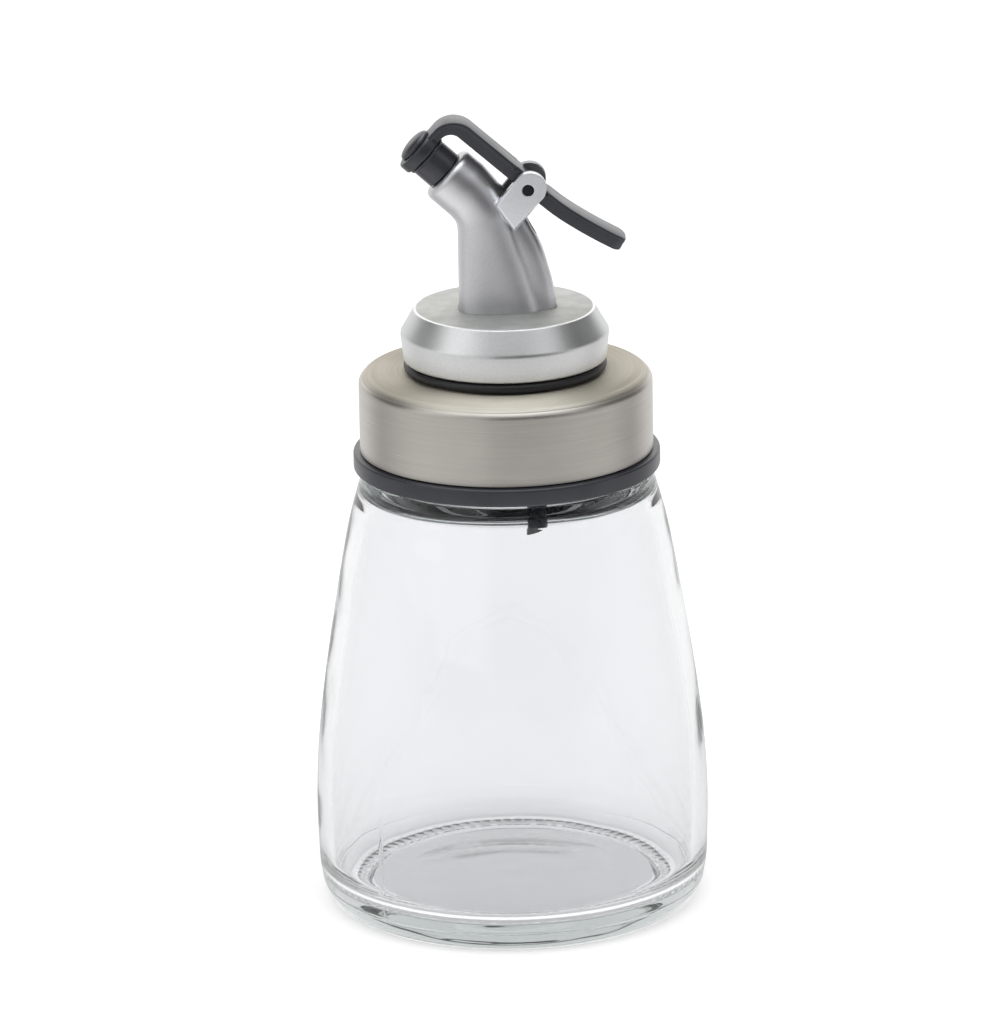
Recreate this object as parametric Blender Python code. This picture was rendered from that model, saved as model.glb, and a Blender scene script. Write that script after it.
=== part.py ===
"""Glass oil bottle with a screw cap and a lever pourer.

Metres, +Z up, base on z = 0, bottle axis at x = y = 0.
The spout points to -X and the thumb lever to +X.
Every size below is in millimetres and is written once.
"""

import math

import bmesh
import bpy
from mathutils import Matrix, Vector

MM = 0.001
SEAT = 0.2
CUT_PAST = 1.0
CIRCLE_STEPS = 40
SMALL_STEPS = 16
TUBE_STEPS = 24
SHARP_DEG = 30
ELLIPSE = 2.0

# Glass neck and screw thread
NECK_R = 25.3
NECK_WALL = 2.8
NECK_BORE_R = NECK_R - NECK_WALL
NECK_ROOT_RISE = 0.4
LIP_EDGE_R = 0.7
THREAD_PITCH = 4.0
THREAD_TURNS = 1.25
THREAD_HEIGHT = 1.0
THREAD_ROOT_WIDTH = 1.6
THREAD_CREST_WIDTH = 0.7
THREAD_TAPER_TURN = 0.08
THREAD_SINK = 0.35
THREAD_TOP_GAP = 3.0

# Glass body: keys are (radius, height)
SHOULDER_STEP = 2.9
SHOULDER_R = NECK_R + SHOULDER_STEP
SHOULDER_TOP_Z = 87.4
SHOULDER_CORNER_R = 2.0
SHOULDER_START_DEG = 12
CONTACT_INNER_R = 28.6
HEEL_KEYS = [(34.2, 0.0), (35.7, 1.0), (36.8, 3.1), (37.45, 6.0)]
BELLY_KEYS = [(37.75, 9.0), (38.0, 20.0), (37.4, 32.0), (35.85, 45.0), (33.5, 60.0), (30.8, 75.0)]
WALL_KEYS = [*BELLY_KEYS, (SHOULDER_R, 84.6)]
GLASS_WALL = 2.9
PUSH_UP_R = 21.7
PUSH_UP_EDGE_Z = 1.4
PUSH_UP_DEPTH = 2.4
PUSH_UP_STEPS = 4
FLOOR_Z = 7.2
FLOOR_CROWN = 1.8
FLOOR_CROWN_STEPS = 5
FLOOR_CORNER_R = 5.0
FLOOR_CORNER_DEG = 80

# Inner shoulder: (share of the way from neck bore to wall, rise above its foot)
INNER_SHOULDER_Z = 79.0
INNER_SHOULDER_KEYS = [(0.0, 7.0), (0.16, 5.0), (0.65, 3.6), (1.0, 0.0)]

# Cap: steel shell over a threaded liner
THREAD_CLEARANCE = 0.4
LINER_BORE_R = NECK_R + THREAD_HEIGHT + THREAD_CLEARANCE
LINER_WALL = 0.85
LINER_PLATE = 1.9
LINER_MOUTH_CHAMFER = 1.5
SHELL_WALL = 0.4
SHELL_R = LINER_BORE_R + LINER_WALL + SEAT + SHELL_WALL
SHELL_TOP_Z = 105.7
SHELL_EDGE_R = 1.9
RING_OVERHANG = 1.3
RING_R = SHELL_R + RING_OVERHANG
RING_BOTTOM_Z = 86.7
RING_TOP_Z = 90.1
RING_EDGE_R = 0.5
NECK_GASKET_THICKNESS = 1.2
NECK_GASKET_OVERLAP = 1.0

# Pourer base
GASKET_R = 19.45
COLLAR_BOTTOM_Z = 108.0
COLLAR_BOTTOM_R = 19.45
COLLAR_BAND_TOP = (19.95, 113.4)
COLLAR_TOP_R = 17.3
COLLAR_TOP_Z = 118.0
COLLAR_WALL = 2.45
COLLAR_CAVITY_R = COLLAR_BOTTOM_R - COLLAR_WALL
COLLAR_CAVITY_CORNER = 1.0
COLLAR_PLATE = 2.4
COLLAR_EDGE_R = 0.5
STEM_R = 8.0
STEM_BOTTOM_Z = 97.0
STEM_HOLE_CLEARANCE = 0.3
FLANGE_CLEARANCE = 1.5
FLANGE_R = COLLAR_CAVITY_R - FLANGE_CLEARANCE
FLANGE_THICKNESS = 2.2
FOOT_SINK = 1.0
BOSS_R = 12.0
NUT_ACROSS_FLATS = 22.0
NUT_HEIGHT = 4.0
NUT_CHAMFER = 0.6

# Spout tube: stations are (left x, left z, right x, right z, half width, squareness)
FOOT_LEFT_X = -8.64
FOOT_RIGHT_X = 7.0
FOOT_HALF_WIDTH = 5.95
FOOT_SQUARENESS = 3.4
TUBE_R = 5.65
TUBE_TILT = math.radians(42.5)
MOUTH_CENTRE = Vector((-10.81, 0.0, 144.73))
LIP_ROUND = 1.2
BEND_STATIONS = [
    (FOOT_LEFT_X, 123.0, 6.35, 122.8, 5.85, 3.2),
    (FOOT_LEFT_X, 127.0, 5.4, 127.2, 5.75, 2.9),
    (FOOT_LEFT_X, 130.5, 4.2, 131.4, 5.65, 2.6),
    (FOOT_LEFT_X, 133.2, 2.9, 135.2, 5.6, 2.3),
    (-8.95, 134.9, 1.6, 138.6, 5.55, 2.1),
    (-9.9, 136.2, -0.4, 141.9, 5.55, 2.0),
]
TUBE_STATION_STARTS = [-5.0, -3.0, -1.2]

# Rear rib with the air channel: same station form
RIB_STATIONS = [
    (1.0, 121.5, 9.4, 122.4, 3.25, 2.7),
    (0.5, 124.0, 8.5, 126.0, 3.2, 2.7),
    (-0.5, 126.5, 7.3, 130.0, 3.15, 2.6),
    (-2.0, 128.6, 5.6, 133.7, 3.1, 2.5),
    (-3.5, 131.0, 3.2, 137.7, 3.0, 2.4),
    (-5.5, 134.0, 0.5, 141.3, 2.8, 2.3),
    (-6.5, 137.0, -2.0, 143.3, 2.2, 2.2),
]
RIB_FOOT_RIGHT_X = 10.0
RIB_FOOT_LEFT_X = 1.0
RIB_HALF_WIDTH = 3.3

# Channels through the spout
FLOW_X = -2.6
FLOW_R = 4.2
FLOW_TOP_Z = 137.5
MOUTH_BORE_R = 3.6
MOUTH_BORE_DEPTH = 11.5
MOUTH_CHAMFER = 0.3
AIR_X = 5.4
AIR_R = 1.0
AIR_TOP_Z = 138.0

# Air tube
AIR_TUBE_R = 1.875
AIR_TUBE_BORE_R = 1.2
AIR_TUBE_BOTTOM_Z = 72.6
AIR_TUBE_CUT_SLOPE = 0.7
AIR_TUBE_SOCKET_DEPTH = 8.0
SOCKET_CLEARANCE = 0.1

# Ears and pin
PIN = Vector((4.87, 0.0, 141.95))
PIN_R = 1.1
PIN_PRESS_CLEARANCE = 0.05
PIN_RUNNING_CLEARANCE = 0.07
EAR_GAP_HALF = 3.15
EAR_THICKNESS = 1.9
EAR_HEAD = (5.25, 142.25)
EAR_HEAD_R = 3.1
EAR_BASE_UPPER = (-1.5, 139.1)
EAR_BASE_LOWER = (2.2, 133.75)
EAR_BEVEL = 0.35

# Lever
LEVER_WEB_HALF = 2.9
LEVER_TOP_HALF = 3.45
LEVER_TOP_THICKNESS = 0.9
LEVER_EAR_CLEARANCE = 0.2
LEVER_EAR_REACH = 2.8
LEVER_EAR_STEP = 0.25
LEVER_ARM_THICKNESS = 2.95
LEVER_RING_THICKNESS = 2.3
LEVER_RING_R = 4.8
LEVER_RING_BORE_R = 2.35
LEVER_RING_LEVEL = 6.2
LEVER_RING_EDGE = 0.5
LEVER_STRAP_START = 0.6
LEVER_ARCH_START = 4.9
LEVER_ARCH_R = 3.68
LEVER_ARCH_STEPS = 8
LEVER_ARM_TILT = math.radians(41.2)
HANDLE_KEYS = [(11.0, 137.3), (14.8, 134.75), (18.5, 132.55), (22.0, 130.65)]
HANDLE_END_R = 0.9
HUB_R = 2.1
HUB_DROP = 0.5
HUB_HALF = 2.8

# Stopper: stations are (radius, distance from the mouth along the tube)
PLUG_R = 3.95
PLUG_NOSE_DEPTH = 1.2
PLUG_LIFT = 0.3
PLUG_FLANGE_R = 4.25
PLUG_FLANGE_THICKNESS = 0.65
PLUG_NECK_R = 2.2
BUTTON_R = 3.5
BUTTON_HEIGHT = 1.45
BUTTON_EDGE = 0.3
BUTTON_STEPS = 5
RING_GAP = 0.1


def clear_scene():
    for obj in list(bpy.data.objects):
        bpy.data.objects.remove(obj, do_unlink=True)


def make_material(name, colour, roughness, metallic=0.0, transmission=0.0):
    material = bpy.data.materials.new(name)
    material.use_nodes = True
    shader = material.node_tree.nodes["Principled BSDF"]
    shader.inputs["Base Color"].default_value = (*colour, 1.0)
    shader.inputs["Roughness"].default_value = roughness
    shader.inputs["Metallic"].default_value = metallic
    shader.inputs["Transmission Weight"].default_value = transmission
    return material


def clear_glass():
    return make_material("clear_glass", (0.93, 0.96, 0.95), 0.02, transmission=1.0)


def brushed_steel():
    return make_material("brushed_steel", (0.62, 0.60, 0.56), 0.34, metallic=1.0)


def black_plastic():
    return make_material("black_plastic", (0.035, 0.036, 0.040), 0.38)


def black_rubber():
    return make_material("black_rubber", (0.022, 0.022, 0.024), 0.5)


def satin_silver():
    return make_material("satin_silver", (0.66, 0.66, 0.67), 0.36, metallic=0.9)


# Outlines: lists of (radius, height) or (x, z) pairs
def arc(centre, radius, start_deg, end_deg, steps):
    points = []
    for step in range(steps + 1):
        angle = math.radians(start_deg + (end_deg - start_deg) * step / steps)
        points.append((centre[0] + radius * math.cos(angle), centre[1] + radius * math.sin(angle)))
    return points


def through(keys, steps):
    """Smooth curve (Catmull-Rom) through keys of any number of values."""
    padded = [keys[0], *keys, keys[-1]]
    points = []
    for a, b, c, d in zip(padded, padded[1:], padded[2:], padded[3:]):
        for step in range(steps):
            t = step / steps
            points.append(
                tuple(
                    0.5 * (2 * q + (r - p) * t + (2 * p - 5 * q + 4 * r - s) * t**2 + (3 * q - p - 3 * r + s) * t**3)
                    for p, q, r, s in zip(a, b, c, d)
                )
            )
    return points + [tuple(keys[-1])]


def at_height(outline, z):
    """Radius of an outline with rising height at height z."""
    for (r0, z0), (r1, z1) in zip(outline, outline[1:]):
        if z0 <= z <= z1:
            return r0 + (r1 - r0) * (z - z0) / (z1 - z0)
    return outline[-1][0]


# Meshes: points in millimetres go in, an object in metres comes out
def object_from(bm, name, material, origin=Vector((0.0, 0.0, 0.0)), helper=False):
    bmesh.ops.recalc_face_normals(bm, faces=bm.faces)
    bmesh.ops.triangulate(bm, faces=[face for face in bm.faces if len(face.verts) > 3])
    bmesh.ops.translate(bm, vec=-origin, verts=bm.verts)
    bmesh.ops.scale(bm, vec=(MM, MM, MM), verts=bm.verts)
    mesh = bpy.data.meshes.new(name)
    bm.to_mesh(mesh)
    bm.free()
    obj = bpy.data.objects.new(name, mesh)
    obj.location = origin * MM
    bpy.context.scene.collection.objects.link(obj)
    if helper:
        obj.hide_render = True
        obj.display_type = "WIRE"
        return obj
    mesh.materials.append(material)
    return obj


def shade(obj):
    """Bakes the Booleans into the mesh and smooths all but its real edges."""
    bpy.context.view_layer.update()
    baked = obj.evaluated_get(bpy.context.evaluated_depsgraph_get())
    mesh = bpy.data.meshes.new_from_object(baked)
    tools = [modifier.object for modifier in obj.modifiers]
    obj.modifiers.clear()
    obj.data = mesh
    mesh.shade_smooth()
    mesh.set_sharp_from_angle(angle=math.radians(SHARP_DEG))
    for tool in tools:
        bpy.data.objects.remove(tool, do_unlink=True)


def add_ring(bm, points):
    return [bm.verts.new(point) for point in points]


def skin(bm, rings, wrap=False):
    """Faces between neighbouring rings; a ring of one vertex is a pole."""
    pairs = list(zip(rings, rings[1:]))
    if wrap:
        pairs.append((rings[-1], rings[0]))
    for low, high in pairs:
        count = max(len(low), len(high))
        for i in range(count):
            j = (i + 1) % count
            corners = []
            for corner in (low[i % len(low)], low[j % len(low)], high[j % len(high)], high[i % len(high)]):
                if corner not in corners:
                    corners.append(corner)
            if len(corners) > 2:
                bm.faces.new(corners)


def turned_mesh(outline, steps=CIRCLE_STEPS, place=None):
    """Outline of (radius, height) turned round the axis; ends at radius 0 become poles.

    A placed shape starts half a step on, so that its points miss those of the shape it cuts.
    """
    bm = bmesh.new()
    rings = []
    first = 0.5 if place else 0.0
    for radius, height in outline:
        count = steps if radius > 0 else 1
        turn = [2 * math.pi * (i + first) / steps for i in range(count)]
        rings.append(add_ring(bm, [(radius * math.cos(a), radius * math.sin(a), height) for a in turn]))
    skin(bm, rings, wrap=outline[0][0] > 0)
    if place:
        bmesh.ops.transform(bm, matrix=place, verts=bm.verts)
    return bm


def lofted_mesh(sections):
    """Skin over closed sections with an equal number of points, closed at both ends."""
    bm = bmesh.new()
    rings = [add_ring(bm, section) for section in sections]
    skin(bm, rings)
    bm.faces.new(rings[0])
    bm.faces.new(rings[-1])
    return bm


def plate_mesh(outline, y_from, y_to, bevel=0.0):
    """Outline of (x, z) between two planes of constant y, with its rims at y_to bevelled."""
    bm = bmesh.new()
    near = add_ring(bm, [(x, y_from, z) for x, z in outline])
    far = add_ring(bm, [(x, y_to, z) for x, z in outline])
    bm.faces.new(near)
    outer = bm.faces.new(far)
    skin(bm, [near, far])
    if bevel:
        bmesh.ops.bevel(bm, geom=list(outer.edges), offset=bevel, segments=2, affect="EDGES", profile=0.5)
    return bm


def cross_rod_mesh(centre, radius, half_length, steps=SMALL_STEPS):
    """Round rod along Y."""
    circle = arc((centre.x, centre.z), radius, 0, 360 * (steps - 1) / steps, steps - 1)
    return plate_mesh(circle, -half_length, half_length)


def combine(obj, bm, operation, label):
    tool = object_from(bm, obj.name + "_" + label, None, helper=True)
    modifier = obj.modifiers.new(label, "BOOLEAN")
    modifier.operation = operation
    modifier.object = tool


def attach(child, parent):
    child.location = child.location - parent.location
    child.parent = parent


def axis_empty(name, origin):
    empty = bpy.data.objects.new(name, None)
    empty.location = origin * MM
    bpy.context.scene.collection.objects.link(empty)
    return empty


# Heights that follow from the sizes above
LINER_TOP_Z = SHELL_TOP_Z - SHELL_WALL - SEAT
LINER_UNDERSIDE_Z = LINER_TOP_Z - LINER_PLATE
NECK_GASKET_TOP_Z = LINER_UNDERSIDE_Z - SEAT
NECK_GASKET_BOTTOM_Z = NECK_GASKET_TOP_Z - NECK_GASKET_THICKNESS
LIP_TOP_Z = NECK_GASKET_BOTTOM_Z - SEAT
GLASS_THREAD_START_Z = LIP_TOP_Z - THREAD_TOP_GAP - THREAD_PITCH * THREAD_TURNS
LINER_THREAD_START_Z = GLASS_THREAD_START_Z - THREAD_PITCH / 2
STEM_HOLE_R = STEM_R + STEM_HOLE_CLEARANCE

# Directions: along the tube to its mouth, and square to it in the plane y = 0
MOUTH_WAY = Vector((-math.cos(TUBE_TILT), 0.0, math.sin(TUBE_TILT)))
MOUTH_UP = Vector((math.sin(TUBE_TILT), 0.0, math.cos(TUBE_TILT)))


def mouth_frame():
    """Matrix that stands a turned shape, axis Z, on the mouth with Z out of the tube."""
    columns = (MOUTH_UP, Vector((0.0, -1.0, 0.0)), MOUTH_WAY)
    turn = Matrix([[column[row] for column in columns] for row in range(3)])
    return Matrix.Translation(MOUTH_CENTRE) @ turn.to_4x4()


# Glass bottle
def thread_mesh(wall_r, inward, start_z):
    """Right-handed ridge on a wall of radius wall_r, tapering out at both ends."""
    side = -1 if inward else 1
    count = round(THREAD_TURNS * CIRCLE_STEPS)
    sections = []
    for step in range(count + 1):
        turns = step / CIRCLE_STEPS
        rise = min(1.0, turns / THREAD_TAPER_TURN, (THREAD_TURNS - turns) / THREAD_TAPER_TURN)
        root = wall_r - side * THREAD_SINK
        crest = wall_r + side * THREAD_HEIGHT * rise
        z = start_z + THREAD_PITCH * turns
        angle = 2 * math.pi * turns
        section = []
        for radius, half in (
            (root, -THREAD_ROOT_WIDTH / 2),
            (crest, -THREAD_CREST_WIDTH / 2),
            (crest, THREAD_CREST_WIDTH / 2),
            (root, THREAD_ROOT_WIDTH / 2),
        ):
            section.append((radius * math.cos(angle), radius * math.sin(angle), z + half))
        sections.append(section)
    return lofted_mesh(sections)


def glass_outline():
    wall = through(WALL_KEYS, 2)
    heel = through([*HEEL_KEYS, WALL_KEYS[0]], 2)[:-1]
    shoulder_centre = (SHOULDER_R - SHOULDER_CORNER_R, SHOULDER_TOP_Z - SHOULDER_CORNER_R)
    shoulder = arc(shoulder_centre, SHOULDER_CORNER_R, SHOULDER_START_DEG, 90, 4)
    lip = arc((NECK_R - LIP_EDGE_R, LIP_TOP_Z - LIP_EDGE_R), LIP_EDGE_R, 0, 90, 2)
    lip_inside = arc((NECK_BORE_R + LIP_EDGE_R, LIP_TOP_Z - LIP_EDGE_R), LIP_EDGE_R, 90, 180, 2)
    widening = at_height(wall, INNER_SHOULDER_Z) - GLASS_WALL - NECK_BORE_R
    inner_shoulder = through(
        [(NECK_BORE_R + widening * share, INNER_SHOULDER_Z + rise) for share, rise in INNER_SHOULDER_KEYS], 2
    )
    corner_z = FLOOR_Z + FLOOR_CORNER_R
    inside = [(r - GLASS_WALL, z) for r, z in WALL_KEYS if corner_z < z < INNER_SHOULDER_Z][::-1]
    corner_r = at_height(wall, corner_z) - GLASS_WALL - FLOOR_CORNER_R
    corner = arc((corner_r, corner_z), FLOOR_CORNER_R, 0, -FLOOR_CORNER_DEG, 4)
    crown = []
    for step in range(FLOOR_CROWN_STEPS - 1, -1, -1):
        share = step / FLOOR_CROWN_STEPS
        crown.append((corner_r * share, FLOOR_Z + FLOOR_CROWN * math.cos(math.pi * share / 2) ** 2))
    push_up = []
    for step in range(PUSH_UP_STEPS):
        share = step / PUSH_UP_STEPS
        push_up.append((PUSH_UP_R * share, PUSH_UP_EDGE_Z + PUSH_UP_DEPTH * math.cos(math.pi * share / 2)))
    base = [
        *push_up,
        (PUSH_UP_R, PUSH_UP_EDGE_Z),
        (CONTACT_INNER_R - PUSH_UP_EDGE_Z, PUSH_UP_EDGE_Z),
        (CONTACT_INNER_R, 0.0),
    ]
    return [
        *base,
        *heel,
        *wall,
        *shoulder,
        (NECK_R, SHOULDER_TOP_Z + NECK_ROOT_RISE),
        *lip,
        *lip_inside,
        *inner_shoulder,
        *inside,
        *corner,
        *crown,
    ]


def make_bottle(glass):
    bottle = object_from(turned_mesh(glass_outline()), "glass_bottle", glass)
    combine(bottle, thread_mesh(NECK_R, False, GLASS_THREAD_START_Z), "UNION", "thread")
    return bottle


# Cap
def make_shell(steel):
    inner_edge_r = SHELL_EDGE_R - SHELL_WALL
    edge_x = SHELL_R - SHELL_EDGE_R
    edge_z = SHELL_TOP_Z - SHELL_EDGE_R
    outline = [
        (SHELL_R - SHELL_WALL, RING_TOP_Z + SEAT),
        (SHELL_R, RING_TOP_Z + SEAT),
        *arc((edge_x, edge_z), SHELL_EDGE_R, 0, 90, 5),
        (STEM_HOLE_R, SHELL_TOP_Z),
        (STEM_HOLE_R, SHELL_TOP_Z - SHELL_WALL),
        *arc((edge_x, edge_z), inner_edge_r, 90, 0, 3),
    ]
    return object_from(turned_mesh(outline), "cap_shell", steel)


def make_liner(black):
    body_r = SHELL_R - SHELL_WALL - SEAT
    corner_r = SHELL_EDGE_R - SHELL_WALL
    outline = [
        (LINER_BORE_R, RING_BOTTOM_Z + LINER_MOUTH_CHAMFER),
        (LINER_BORE_R + LINER_MOUTH_CHAMFER, RING_BOTTOM_Z),
        *arc((RING_R - RING_EDGE_R, RING_BOTTOM_Z + RING_EDGE_R), RING_EDGE_R, -90, 0, 2),
        *arc((RING_R - RING_EDGE_R, RING_TOP_Z - RING_EDGE_R), RING_EDGE_R, 0, 90, 2),
        (body_r, RING_TOP_Z),
        *arc((body_r - corner_r, LINER_TOP_Z - corner_r), corner_r, 0, 90, 3),
        (STEM_HOLE_R, LINER_TOP_Z),
        (STEM_HOLE_R, LINER_UNDERSIDE_Z),
        (LINER_BORE_R, LINER_UNDERSIDE_Z),
    ]
    liner = object_from(turned_mesh(outline), "cap_liner", black)
    combine(liner, thread_mesh(LINER_BORE_R, True, LINER_THREAD_START_Z), "UNION", "thread")
    return liner


def make_neck_gasket(rubber):
    inner, outer = NECK_BORE_R - NECK_GASKET_OVERLAP, NECK_R + NECK_GASKET_OVERLAP
    outline = [
        (inner, NECK_GASKET_BOTTOM_Z),
        (outer, NECK_GASKET_BOTTOM_Z),
        (outer, NECK_GASKET_TOP_Z),
        (inner, NECK_GASKET_TOP_Z),
    ]
    return object_from(turned_mesh(outline), "neck_gasket", rubber)


def make_nut(black):
    corner_r = NUT_ACROSS_FLATS / 2 / math.cos(math.pi / 6)
    top = LINER_UNDERSIDE_Z - SEAT
    bottom = top - NUT_HEIGHT
    outline = [
        (0.0, bottom),
        (corner_r - NUT_CHAMFER, bottom),
        (corner_r, bottom + NUT_CHAMFER),
        (corner_r, top),
        (0.0, top),
    ]
    nut = object_from(turned_mesh(outline, 6), "stem_nut", black)
    bore_r = STEM_R + SEAT
    combine(nut, turned_mesh(rod_outline(bore_r, bottom - CUT_PAST, top + CUT_PAST)), "DIFFERENCE", "bore")
    return nut


def rod_outline(radius, bottom, top):
    return [(0.0, bottom), (radius, bottom), (radius, top), (0.0, top)]


# Pourer
def make_pourer_gasket(rubber):
    bottom = SHELL_TOP_Z + SEAT
    top = COLLAR_BOTTOM_Z - SEAT
    bulge = (top - bottom) / 2
    outline = [
        (STEM_HOLE_R, bottom),
        *arc((GASKET_R - bulge, bottom + bulge), bulge, -90, 90, 4),
        (STEM_HOLE_R, top),
    ]
    return object_from(turned_mesh(outline), "pourer_gasket", rubber)


def section(left_x, left_z, right_x, right_z, half_width, squareness):
    """Closed section square to the plane y = 0, from an ellipse to near a rectangle."""
    left, right = Vector((left_x, 0.0, left_z)), Vector((right_x, 0.0, right_z))
    middle, half = (left + right) / 2, (right - left) / 2
    points = []
    for step in range(TUBE_STEPS):
        turn = 2 * math.pi * step / TUBE_STEPS
        along, across = (
            math.copysign(abs(value) ** (2 / squareness), value) for value in (math.cos(turn), math.sin(turn))
        )
        points.append(middle + half * along + Vector((0.0, half_width * across, 0.0)))
    return points


def tube_station(level, radius):
    left = MOUTH_CENTRE + MOUTH_WAY * level - MOUTH_UP * radius
    right = MOUTH_CENTRE + MOUTH_WAY * level + MOUTH_UP * radius
    return (left.x, left.z, right.x, right.z, radius, ELLIPSE)


def foot_station(z):
    return (FOOT_LEFT_X, z, FOOT_RIGHT_X, z, FOOT_HALF_WIDTH, FOOT_SQUARENESS)


def rib_foot_station(z):
    return (RIB_FOOT_LEFT_X, z, RIB_FOOT_RIGHT_X, z, RIB_HALF_WIDTH, RIB_STATIONS[0][5])


def hole_mesh(station_at, bottom, top):
    """Upright cutter a seat wider than the foot whose station it is given."""
    sections = []
    for z in (bottom, top):
        left_x, _, right_x, _, half_width, squareness = station_at(z)
        sections.append(section(left_x - SEAT, z, right_x + SEAT, z, half_width + SEAT, squareness))
    return lofted_mesh(sections)


def foot_mesh(bottom):
    """Main tube from a height inside the collar to the mouth."""
    stations = [foot_station(COLLAR_TOP_Z), *BEND_STATIONS]
    stations += [tube_station(level, TUBE_R) for level in TUBE_STATION_STARTS]
    rounding = arc((TUBE_R - LIP_ROUND, -LIP_ROUND), LIP_ROUND, 0, 90, 4)[1:]
    stations = [foot_station(bottom), *through(stations, 2)]
    stations += [tube_station(level, radius) for radius, level in rounding]
    return lofted_mesh([section(*station) for station in stations])


def rib_mesh(bottom):
    stations = through([rib_foot_station(COLLAR_TOP_Z), *RIB_STATIONS], 2)
    return lofted_mesh([section(*station) for station in [rib_foot_station(bottom), *stations]])


def make_collar(silver):
    plate_z = COLLAR_TOP_Z - COLLAR_PLATE
    outline = [
        (COLLAR_CAVITY_R, COLLAR_BOTTOM_Z),
        *arc((COLLAR_BOTTOM_R - COLLAR_EDGE_R, COLLAR_BOTTOM_Z + COLLAR_EDGE_R), COLLAR_EDGE_R, -90, 0, 3),
        (COLLAR_BAND_TOP[0], COLLAR_BAND_TOP[1] - COLLAR_EDGE_R),
        (COLLAR_BAND_TOP[0] - COLLAR_EDGE_R / 4, COLLAR_BAND_TOP[1]),
        (COLLAR_TOP_R, COLLAR_TOP_Z),
        (0.0, COLLAR_TOP_Z),
    ]
    cavity = [
        (0.0, plate_z),
        (COLLAR_CAVITY_R - COLLAR_CAVITY_CORNER, plate_z),
        (COLLAR_CAVITY_R, plate_z - COLLAR_CAVITY_CORNER),
    ]
    collar = object_from(turned_mesh([*cavity, *outline]), "collar", silver)
    below, above = plate_z - CUT_PAST, COLLAR_TOP_Z + CUT_PAST
    combine(collar, hole_mesh(foot_station, below, above), "DIFFERENCE", "foot_hole")
    combine(collar, hole_mesh(rib_foot_station, below, above), "DIFFERENCE", "rib_hole")
    return collar


def ear_outline():
    head = Vector(EAR_HEAD)
    upper, lower = Vector(EAR_BASE_UPPER), Vector(EAR_BASE_LOWER)
    start = math.degrees(tangent_angle(upper, head, EAR_HEAD_R, 1)) + 360
    end = math.degrees(tangent_angle(lower, head, EAR_HEAD_R, -1))
    return [EAR_BASE_UPPER, *arc(EAR_HEAD, EAR_HEAD_R, start, end, 10), EAR_BASE_LOWER]


def tangent_angle(point, centre, radius, side):
    """Direction from a circle's centre to where a line from the point touches it."""
    back = point - centre
    return math.atan2(back.y, back.x) - side * math.acos(radius / back.length)


def make_spout(silver):
    foot_z = COLLAR_TOP_Z - COLLAR_PLATE - SEAT
    flange_bottom = foot_z - FLANGE_THICKNESS
    spout = object_from(foot_mesh(foot_z - FOOT_SINK), "spout_body", silver)
    combine(spout, rib_mesh(foot_z - FOOT_SINK), "UNION", "rib")
    base = [
        (0.0, STEM_BOTTOM_Z),
        (STEM_R, STEM_BOTTOM_Z),
        (STEM_R, COLLAR_BOTTOM_Z),
        (BOSS_R, COLLAR_BOTTOM_Z),
        (BOSS_R, flange_bottom),
        (FLANGE_R, flange_bottom),
        (FLANGE_R, foot_z),
        (0.0, foot_z),
    ]
    combine(spout, turned_mesh(base), "UNION", "stem")
    outer = EAR_GAP_HALF + EAR_THICKNESS
    for side, label in ((-1, "near_ear"), (1, "far_ear")):
        ear = plate_mesh(ear_outline(), side * EAR_GAP_HALF, side * outer, EAR_BEVEL)
        combine(spout, ear, "UNION", label)
    flow = rod_outline(FLOW_R, STEM_BOTTOM_Z - CUT_PAST, FLOW_TOP_Z)
    flow_place = Matrix.Translation((FLOW_X, 0, 0))
    combine(spout, turned_mesh(flow, TUBE_STEPS, flow_place), "DIFFERENCE", "flow_bore")
    mouth = [
        (0.0, -MOUTH_BORE_DEPTH),
        (MOUTH_BORE_R, -MOUTH_BORE_DEPTH),
        (MOUTH_BORE_R, -MOUTH_CHAMFER),
        (MOUTH_BORE_R + MOUTH_CHAMFER + CUT_PAST, CUT_PAST),
        (0.0, CUT_PAST),
    ]
    combine(spout, turned_mesh(mouth, TUBE_STEPS, mouth_frame()), "DIFFERENCE", "mouth_bore")
    socket_r = AIR_TUBE_R + SOCKET_CLEARANCE
    socket_top = STEM_BOTTOM_Z + AIR_TUBE_SOCKET_DEPTH
    air = [
        (0.0, STEM_BOTTOM_Z - CUT_PAST),
        (socket_r, STEM_BOTTOM_Z - CUT_PAST),
        (socket_r, socket_top),
        (AIR_R, socket_top),
        (AIR_R, AIR_TOP_Z),
        (0.0, AIR_TOP_Z),
    ]
    combine(spout, turned_mesh(air, SMALL_STEPS, Matrix.Translation((AIR_X, 0, 0))), "DIFFERENCE", "air_bore")
    pin_hole = cross_rod_mesh(PIN, PIN_R + PIN_PRESS_CLEARANCE, outer + CUT_PAST)
    combine(spout, pin_hole, "DIFFERENCE", "pin_hole")
    return spout


def make_air_tube(black):
    top = STEM_BOTTOM_Z + AIR_TUBE_SOCKET_DEPTH - SEAT
    outline = [
        (AIR_TUBE_BORE_R, AIR_TUBE_BOTTOM_Z),
        (AIR_TUBE_R, AIR_TUBE_BOTTOM_Z),
        (AIR_TUBE_R, top),
        (AIR_TUBE_BORE_R, top),
    ]
    bm = turned_mesh(outline, SMALL_STEPS)
    for vert in bm.verts:
        if vert.co.z < top:
            vert.co.z += AIR_TUBE_CUT_SLOPE * vert.co.x
    bmesh.ops.translate(bm, vec=(AIR_X, 0, 0), verts=bm.verts)
    return object_from(bm, "air_tube", black)


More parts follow.
